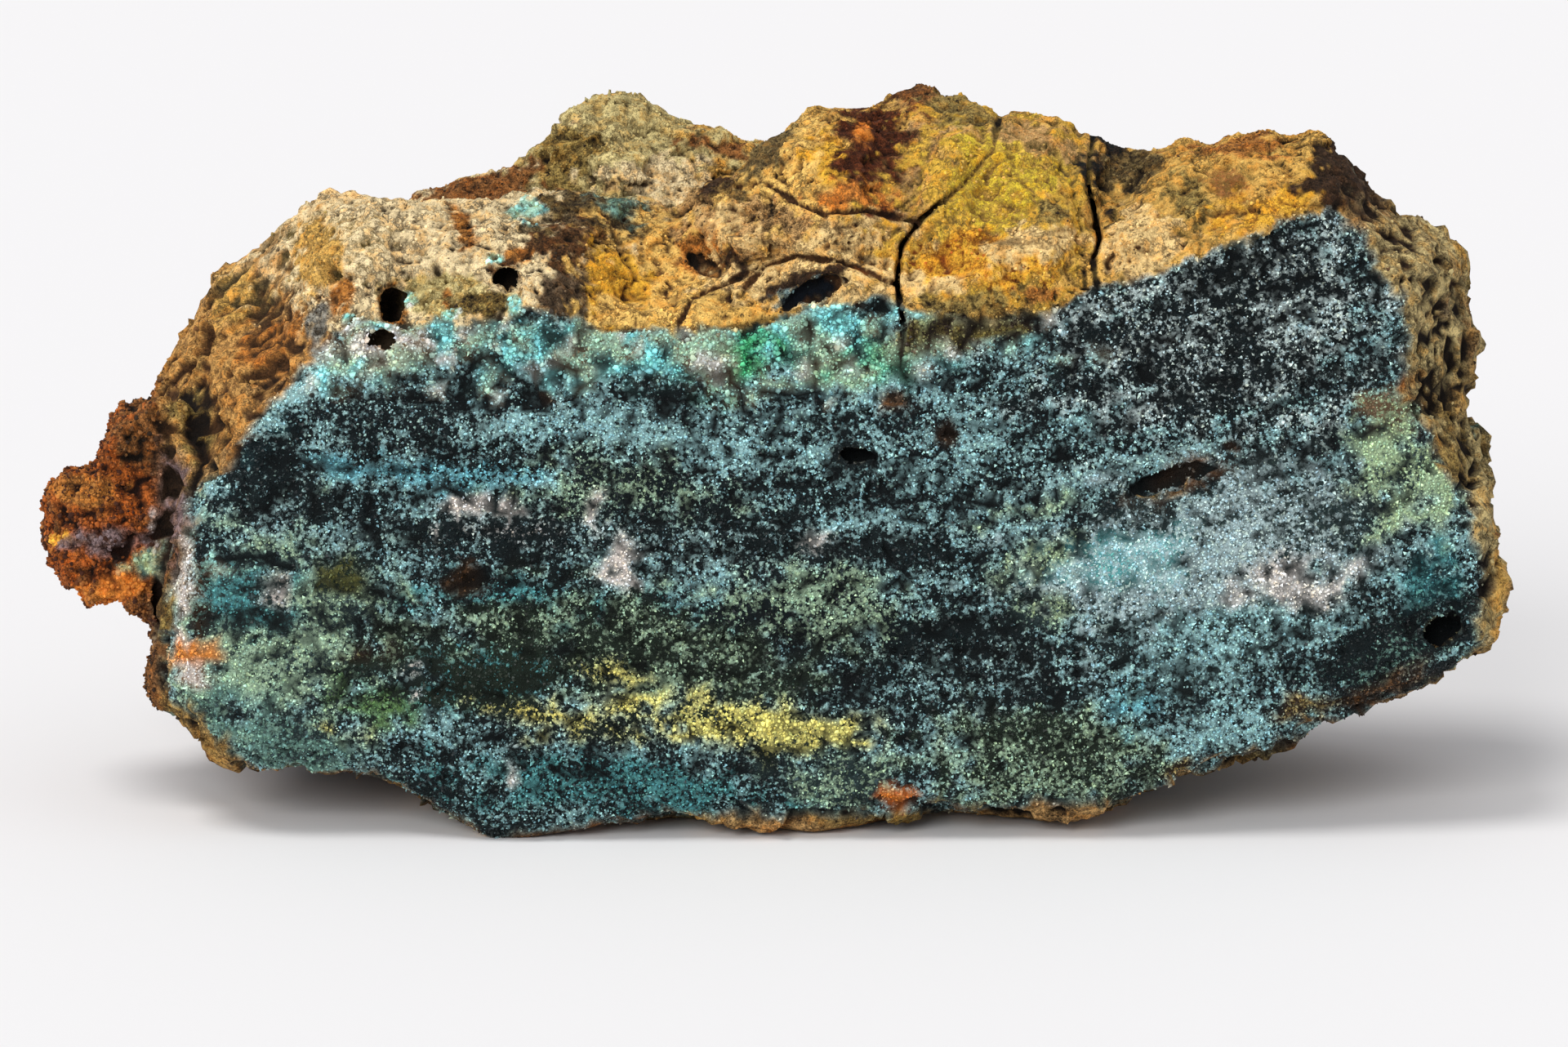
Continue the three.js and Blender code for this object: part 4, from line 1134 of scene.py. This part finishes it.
def grains_of(finish):
    """How pale each crystal grain of the crust is."""
    cell = finish.add("ShaderNodeTexVoronoi", {"Vector": finish.place, "Scale": 1 / (GRAIN_SIZE * MM)})
    chance = finish.add("ShaderNodeSeparateColor", {0: Output(finish, cell.socket.node.outputs["Color"])})
    rank = tufts(finish) + 0.6 * (chance - 0.5)
    return paleness(finish, rank, 3.5) * (1.15 - 0.9 * cell).within(0.1, 1)


def spots(finish, size_mm, detail, roughness, level, contrast):
    """Ragged spots: where noise is above a level, or below it if the contrast is negative."""
    return ((finish.noise(size_mm, detail, roughness) - level) * contrast).within()


def weathered_rock():
    finish = Finish("weathered_rock")
    crust = finish.number("crust")
    earthy = 1 - crust
    hollow = finish.number("hollow")
    dark = finish.colour("dark")
    grit = finish.noise(0.55, 5, 0.74)
    fine = finish.noise(0.16, 2)
    dust = finish.noise(1.5, 3)
    blotch = finish.noise(4.2, 4)
    stains = 0.5 * grit + 0.3 * finish.noise(1.6, 5, 0.7) + 0.2 * fine
    stains = ((stains - 0.46 + (finish.number("cover") - 0.5) * 0.3) * 6.5 + 0.5).within()
    grains = finish.mix(crust, stains, grains_of(finish))
    colour = finish.mix(grains, dark, finish.colour("light"))
    rust = spots(finish, 1.3, 4, 0.7, 0.48, 7) * earthy
    colour = finish.mix(rust * 0.8, colour, finish.mix(1.0, colour, WARM_STAIN, "MULTIPLY"))
    from_middle = finish.noise(1.3, 5, 0.7) - 0.5
    thread = (1 - from_middle.math("ABSOLUTE", from_middle, 0.0) * 26).within()
    vein = thread * ((blotch - 0.46) * 9).within() * earthy
    colour = finish.mix(vein * 0.7, colour, finish.dim(dark, 0.8))
    soot = spots(finish, 3.0, 5, 0.74, 0.55, 9) * earthy
    colour = finish.mix(soot * 0.35, colour, dark)
    pepper = spots(finish, 0.46, 4, 0.7, 0.385, -16) * earthy
    colour = finish.mix(pepper * 0.85, colour, finish.dim(dark, 0.55))
    # Hollows, cracks and holes take a dimmed dark colour here: painted shade.
    colour = finish.mix((hollow * (1.5 - 0.5 * crust)).within(), colour, finish.dim(dark, 0.7))
    # Grit and fine are also the bump's height, so its low places are painted darker and its high places
    # lighter: painted shade of the relief. Dust and blotch vary the tone at random.
    uneven = (grit - 0.5) + 0.7 * (dust - 0.5) + 0.4 * (blotch - 0.5) + 0.7 * (fine - 0.5)
    shade = (1.12 - 0.12 * crust + (1.8 - crust) * uneven).within(0.2, 1.8)
    # The hollow attribute darkens the tone in hollows and lightens it a little on ridges: painted shade
    # and painted light.
    shade = shade * (1 - 0.52 * hollow.within(-0.4, 1))
    finish.feed("Base Color", finish.dim(colour, shade))
    finish.feed("Roughness", 0.92 - 0.3 * crust * grains)
    finish.feed("Specular IOR Level", 0.22)
    finish.bump(grit + 0.5 * fine + 0.35 * grains - 0.5 * pepper - 0.4 * vein, 1.0, 0.45)
    return finish.material


def pale_table():
    finish = Finish("pale_table")
    finish.feed("Base Color", (0.86, 0.855, 0.865, 1))
    finish.feed("Roughness", 0.8)
    finish.bump(finish.noise(1.2), 0.08, 0.1)
    return finish.material


skin.materials.clear()
skin.materials.append(weathered_rock())
table.data.materials.append(pale_table())
print("The skin's finish has", len(skin.materials[0].node_tree.nodes), "nodes")

# %% [markdown]
# A crust of crystals glitters because each crystal turns its own faces to the light, and noise can't do
# that. So real crystals grow here, each with a few flat faces. A node tree scatters them over the skin,
# evenly spaced, leaning at random, and thick where a mask on the skin says so. The points inherit the
# skin's colours, and each crystal also keeps a number of chance, which sets its own shade. The tree ends
# by making the crystals real, because an export keeps no instances.

# %% Shapes of crystals
def solid_from(name, points, faces):
    mesh = bpy.data.meshes.new(name)
    mesh.from_pydata(points, [], faces)
    bm = bmesh.new()
    bm.from_mesh(mesh)
    bmesh.ops.recalc_face_normals(bm, faces=bm.faces)
    bm.to_mesh(mesh)
    bm.free()
    thing = bpy.data.objects.new(name, mesh)
    bpy.context.scene.collection.objects.link(thing)
    return thing


def spindle(name, sides, waist, below):
    """A crystal pointed at both ends, one unit long, with its waist at the surface."""
    turn = 2 * math.pi / sides
    ring = [(waist * math.cos(i * turn), waist * math.sin(i * turn), 0) for i in range(sides)]
    top, bottom = sides, sides + 1
    faces = [(i, (i + 1) % sides, top) for i in range(sides)]
    faces += [((i + 1) % sides, i, bottom) for i in range(sides)]
    return solid_from(name, ring + [(0, 0, 1 - below), (0, 0, -below)], faces)


def crumb(name, seed):
    """An uneven little lump with twenty faces."""
    chance = np.random.default_rng(seed)
    bm = bmesh.new()
    bmesh.ops.create_icosphere(bm, subdivisions=1, radius=0.45)
    points = [point.co * chance.uniform(0.65, 1.25) for point in bm.verts]
    faces = [[point.index for point in face.verts] for face in bm.faces]
    bm.free()
    return solid_from(name, points, faces)


def mark_tip(crystal):
    """Keeps on the crystal how high each point is: 0 at the root, 1 at the tip."""
    mesh = crystal.data
    height = places_of(mesh)[:, 2]
    keep_on(mesh, "tip", (height - height.min()) / np.ptp(height))
    return crystal


GRAIN = mark_tip(spindle("grain", sides=3, waist=0.4, below=0.45))
PRISM = mark_tip(spindle("prism", sides=4, waist=0.26, below=0.3))
CRUMB = mark_tip(crumb("crumb", seed=4))
print("Triangles:", {o.name: triangles_of(o.data) for o in (GRAIN, PRISM, CRUMB)})

# %% [markdown]
# One tree serves every kind of crystal. It takes the skin, a crystal, the name of a mask, a spacing, two
# sizes, a lean, a seed and a finish. The spacing keeps crystals from standing in each other. Sizes follow
# chance squared, so that most crystals are small and few are large.

# %% The tree that scatters crystals
def scattering_tree():
    tree = bpy.data.node_groups.new("scattered_crystals", "GeometryNodeTree")
    sockets = {"Skin": "Geometry", "Crystal": "Object", "Mask": "String", "Finish": "Material"}
    sockets |= {"Seed": "Int"} | dict.fromkeys(("Spacing", "Most", "Smallest", "Largest", "Lean"), "Float")
    ids = {}
    for name, kind in sockets.items():
        socket = tree.interface.new_socket(name, in_out="INPUT", socket_type=f"NodeSocket{kind}")
        ids[name] = socket.identifier
    tree.interface.new_socket("Crystals", in_out="OUTPUT", socket_type="NodeSocketGeometry")
    graph = Graph(tree)
    group = tree.nodes.new("NodeGroupInput")
    given = {name: Output(graph, group.outputs[name]) for name in sockets}
    mask = graph.add("GeometryNodeInputNamedAttribute", {"Name": given["Mask"]}, data_type="FLOAT")
    spread = {"Mesh": given["Skin"], "Distance Min": given["Spacing"], "Density Max": given["Most"]}
    spread |= {"Density Factor": mask, "Seed": given["Seed"]}
    points = graph.add("GeometryNodeDistributePointsOnFaces", spread, distribute_method="POISSON")
    upright = Output(graph, points.socket.node.outputs["Rotation"])

    def chance(low, high, step):
        inputs = {2: low, 3: high, "Seed": given["Seed"] + step}
        return graph.add("FunctionNodeRandomValue", inputs, out=1, data_type="FLOAT")

    tilt = chance(-1.0, 1.0, 1) * given["Lean"]
    roll = chance(-1.0, 1.0, 2) * given["Lean"]
    spin = chance(0.0, 2 * math.pi, 3)
    angles = graph.add("ShaderNodeCombineXYZ", {0: tilt, 1: roll, 2: spin})
    lean = graph.add("FunctionNodeEulerToRotation", {0: angles})
    turned = graph.add("FunctionNodeRotateRotation", {0: upright, 1: lean}, rotation_space="LOCAL")
    luck = chance(0.0, 1.0, 4)
    size = given["Smallest"] + (given["Largest"] - given["Smallest"]) * luck * luck
    shape = graph.add("GeometryNodeObjectInfo", {"Object": given["Crystal"]}, out="Geometry")
    placing = {"Points": points, "Instance": shape, "Rotation": turned, "Scale": size}
    crystals = graph.add("GeometryNodeInstanceOnPoints", placing)
    kept = {"Geometry": crystals, "Name": "chance", "Value": chance(0.0, 1.0, 5)}
    crystals = graph.add("GeometryNodeStoreNamedAttribute", kept, domain="INSTANCE", data_type="FLOAT")
    real = graph.add("GeometryNodeRealizeInstances", {"Geometry": crystals})
    done = graph.add("GeometryNodeSetMaterial", {"Geometry": real, "Material": given["Finish"]})
    graph.add("NodeGroupOutput", {"Crystals": done})
    return tree, ids


SCATTERING, SCATTERING_IDS = scattering_tree()
print("The scattering tree has", len(SCATTERING.nodes), "nodes")

# %% [markdown]
# The crystals share one way of colouring. Its tuft and chance decide whether a crystal takes the patch's
# light colour or its dark one, and the cover says how often. Chance also makes a crystal brighter or
# duller, a painted glint that stands in for how each crystal catches the light.
# Roots are painted dark and tips pale, painted shade at the root and painted light at the tip, and that
# is what makes a sugary crust look deep.

# %% Finishes of the crystals
COOL_TINT = (0.78, 0.96, 1.14, 1)
WARM_TINT = (1.16, 1.06, 0.86, 1)
TRIES = 1.6  # points tried on each square as wide as the spacing


def fraction(value):
    return value.math("FRACT", value, 0.0)


def crystal_finish(name, gloss, contrast, lift, variety):
    finish = Finish(name)
    chance = finish.number("chance")
    rank = tufts(finish) + 0.8 * (chance - 0.5)
    pale = paleness(finish, rank, contrast)
    # Crystal roots take the dark colour and tips the light one: painted shade at the root, painted light
    # at the tip.
    tip = (finish.number("tip") * 1.5 - 0.25).within()
    base = finish.mix(pale * (0.3 + 0.7 * tip), finish.colour("dark"), finish.colour("light"))
    tint = finish.mix(fraction(chance * 13.7), COOL_TINT, WARM_TINT)
    base = finish.mix(variety, base, tint, "MULTIPLY")
    # A painted glint: chance makes each crystal brighter or duller, as if it caught the light or not.
    painted_glint = fraction(chance * 7.31)
    shade = lift * (0.9 + variety * (painted_glint * painted_glint - 0.35))
    # Crystals in hollows, cracks and holes are painted darker, and on ridges a little lighter: painted
    # shade and painted light.
    shade = shade * (1 - 0.6 * finish.number("hollow").within(-0.3, 1))
    shade = shade * (0.7 + 0.5 * finish.number("cover"))
    finish.feed("Base Color", finish.dim(base, shade * (0.8 + 0.4 * finish.noise(0.25, 1))))
    finish.feed("Roughness", gloss)
    finish.feed("Specular IOR Level", 0.32)
    finish.bump(finish.noise(0.12, 1), 0.25, 0.05)
    return finish.material


def grow(name, crystal, mask, spacing, sizes, lean, seed, finish):
    """Scatters crystals over the skin where the mask is, and makes them one mesh. Lengths are in mm."""
    mask_name = "mask_" + name
    keep_on(skin, mask_name, mask)
    carrier = bpy.data.objects.new(name, skin)
    bpy.context.scene.collection.objects.link(carrier)
    modifier = carrier.modifiers.new("crystals", "NODES")
    modifier.node_group = SCATTERING
    values = {"Crystal": crystal, "Mask": mask_name, "Seed": seed, "Finish": finish, "Lean": lean}
    values |= {"Spacing": spacing * MM, "Most": TRIES / (spacing * MM) ** 2}
    values |= {"Smallest": sizes[0] * MM, "Largest": sizes[1] * MM}
    for key, value in values.items():
        modifier[SCATTERING_IDS[key]] = value
    mesh = mesh_of(carrier, name)
    bpy.data.objects.remove(carrier)
    piece = bpy.data.objects.new(name, mesh)
    bpy.context.scene.collection.objects.link(piece)
    print(f"{name}: {triangles_of(mesh)} triangles")
    return piece


ATACAMITE = crystal_finish("atacamite_crystal", gloss=0.45, contrast=3.4, lift=1.45, variety=0.7)
TURQUOISE = crystal_finish("turquoise_chip", gloss=0.45, contrast=3, lift=1.3, variety=0.5)
EARTH = crystal_finish("earthy_crumb", gloss=0.9, contrast=3, lift=1.05, variety=0.4)
print("Finishes:", ATACAMITE.name, TURQUOISE.name, EARTH.name)

# %% [markdown]
# The crust takes two pieces, left and right, so that neither is too heavy. Crystals stand thickly in the
# open and thinly in pits and cracks. Turquoise chips are larger and stand along the top of the crust. The
# yellow is a dusting of crumbs. Rock crumbs break the outline of the rind, the lump and the flanks.

# %% Grow the crystals
MIDDLE = 3.0
open_ground = 1 - 0.9 * ramp(shade, 0.25, 0.6)
open_ground *= 1 - 0.95 * zones["bare"]
crust = zones["crust"] * open_ground
left_half = 1 - ramp(zones["across"], MIDDLE - 0.4, MIDDLE + 0.4)
rough_ground = ramp(noise(places, 3.0, 110), -0.3, 0.5) * open_ground * ramp(places[:, 2], 1.5, 3)
rind = (zones["cream"] + 0.8 * zones["block"]) * rough_ground * (1 - zones["crust"])
rock = 0.5 * zones["broken"] * rough_ground * (1 - zones["crust"])
chips = masks["chips"] * open_ground
halves = {"left": (left_half, 3), "right": (1 - left_half, 5)}
pieces = [
    grow(f"crust_crystals_{side}", GRAIN, crust * half, 0.22, (0.22, 0.52), 1.5, seed, ATACAMITE)
    for side, (half, seed) in halves.items()
]
pieces += [
    grow("larger_crystals", PRISM, crust, 0.8, (0.35, 0.8), 1.1, 17, ATACAMITE),
    grow("turquoise_chips", CRUMB, chips, 0.3, (0.22, 0.75), 1.5, 7, TURQUOISE),
    grow("yellow_crumbs", CRUMB, masks["crumbs"] * open_ground, 0.24, (0.2, 0.55), 1.5, 9, EARTH),
    grow("rind_crumbs", CRUMB, rind, 0.38, (0.12, 0.45), 1.5, 19, EARTH),
    grow("rock_crumbs", CRUMB, rock, 0.7, (0.2, 0.7), 1.5, 11, EARTH),
    grow("gossan_crumbs", CRUMB, zones["gossan"] * open_ground, 0.36, (0.25, 0.7), 1.5, 13, EARTH),
]
for crystal in (GRAIN, PRISM, CRUMB):
    bpy.data.objects.remove(crystal)
print(sum(triangles_of(piece.data) for piece in pieces) + triangles_of(skin), "triangles in all")

# %% [markdown]
# Crystals stand on the skin, so a few could reach out of the solid's box. Their points are held at it.
# Then every piece is told what it belongs to: all ride on the one body, and together they stand for the
# solid stone.

# %% Join the frame
def hold_in_box(mesh):
    low, high = (np.array(corner) / MM for corner in cad_box)
    set_places(mesh, np.clip(places_of(mesh), low, high))


for piece in [stone] + pieces:
    hold_in_box(piece.data)
    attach(piece, "root")
    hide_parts(NODE)
print("Pieces:", [piece.name for piece in [stone] + pieces])
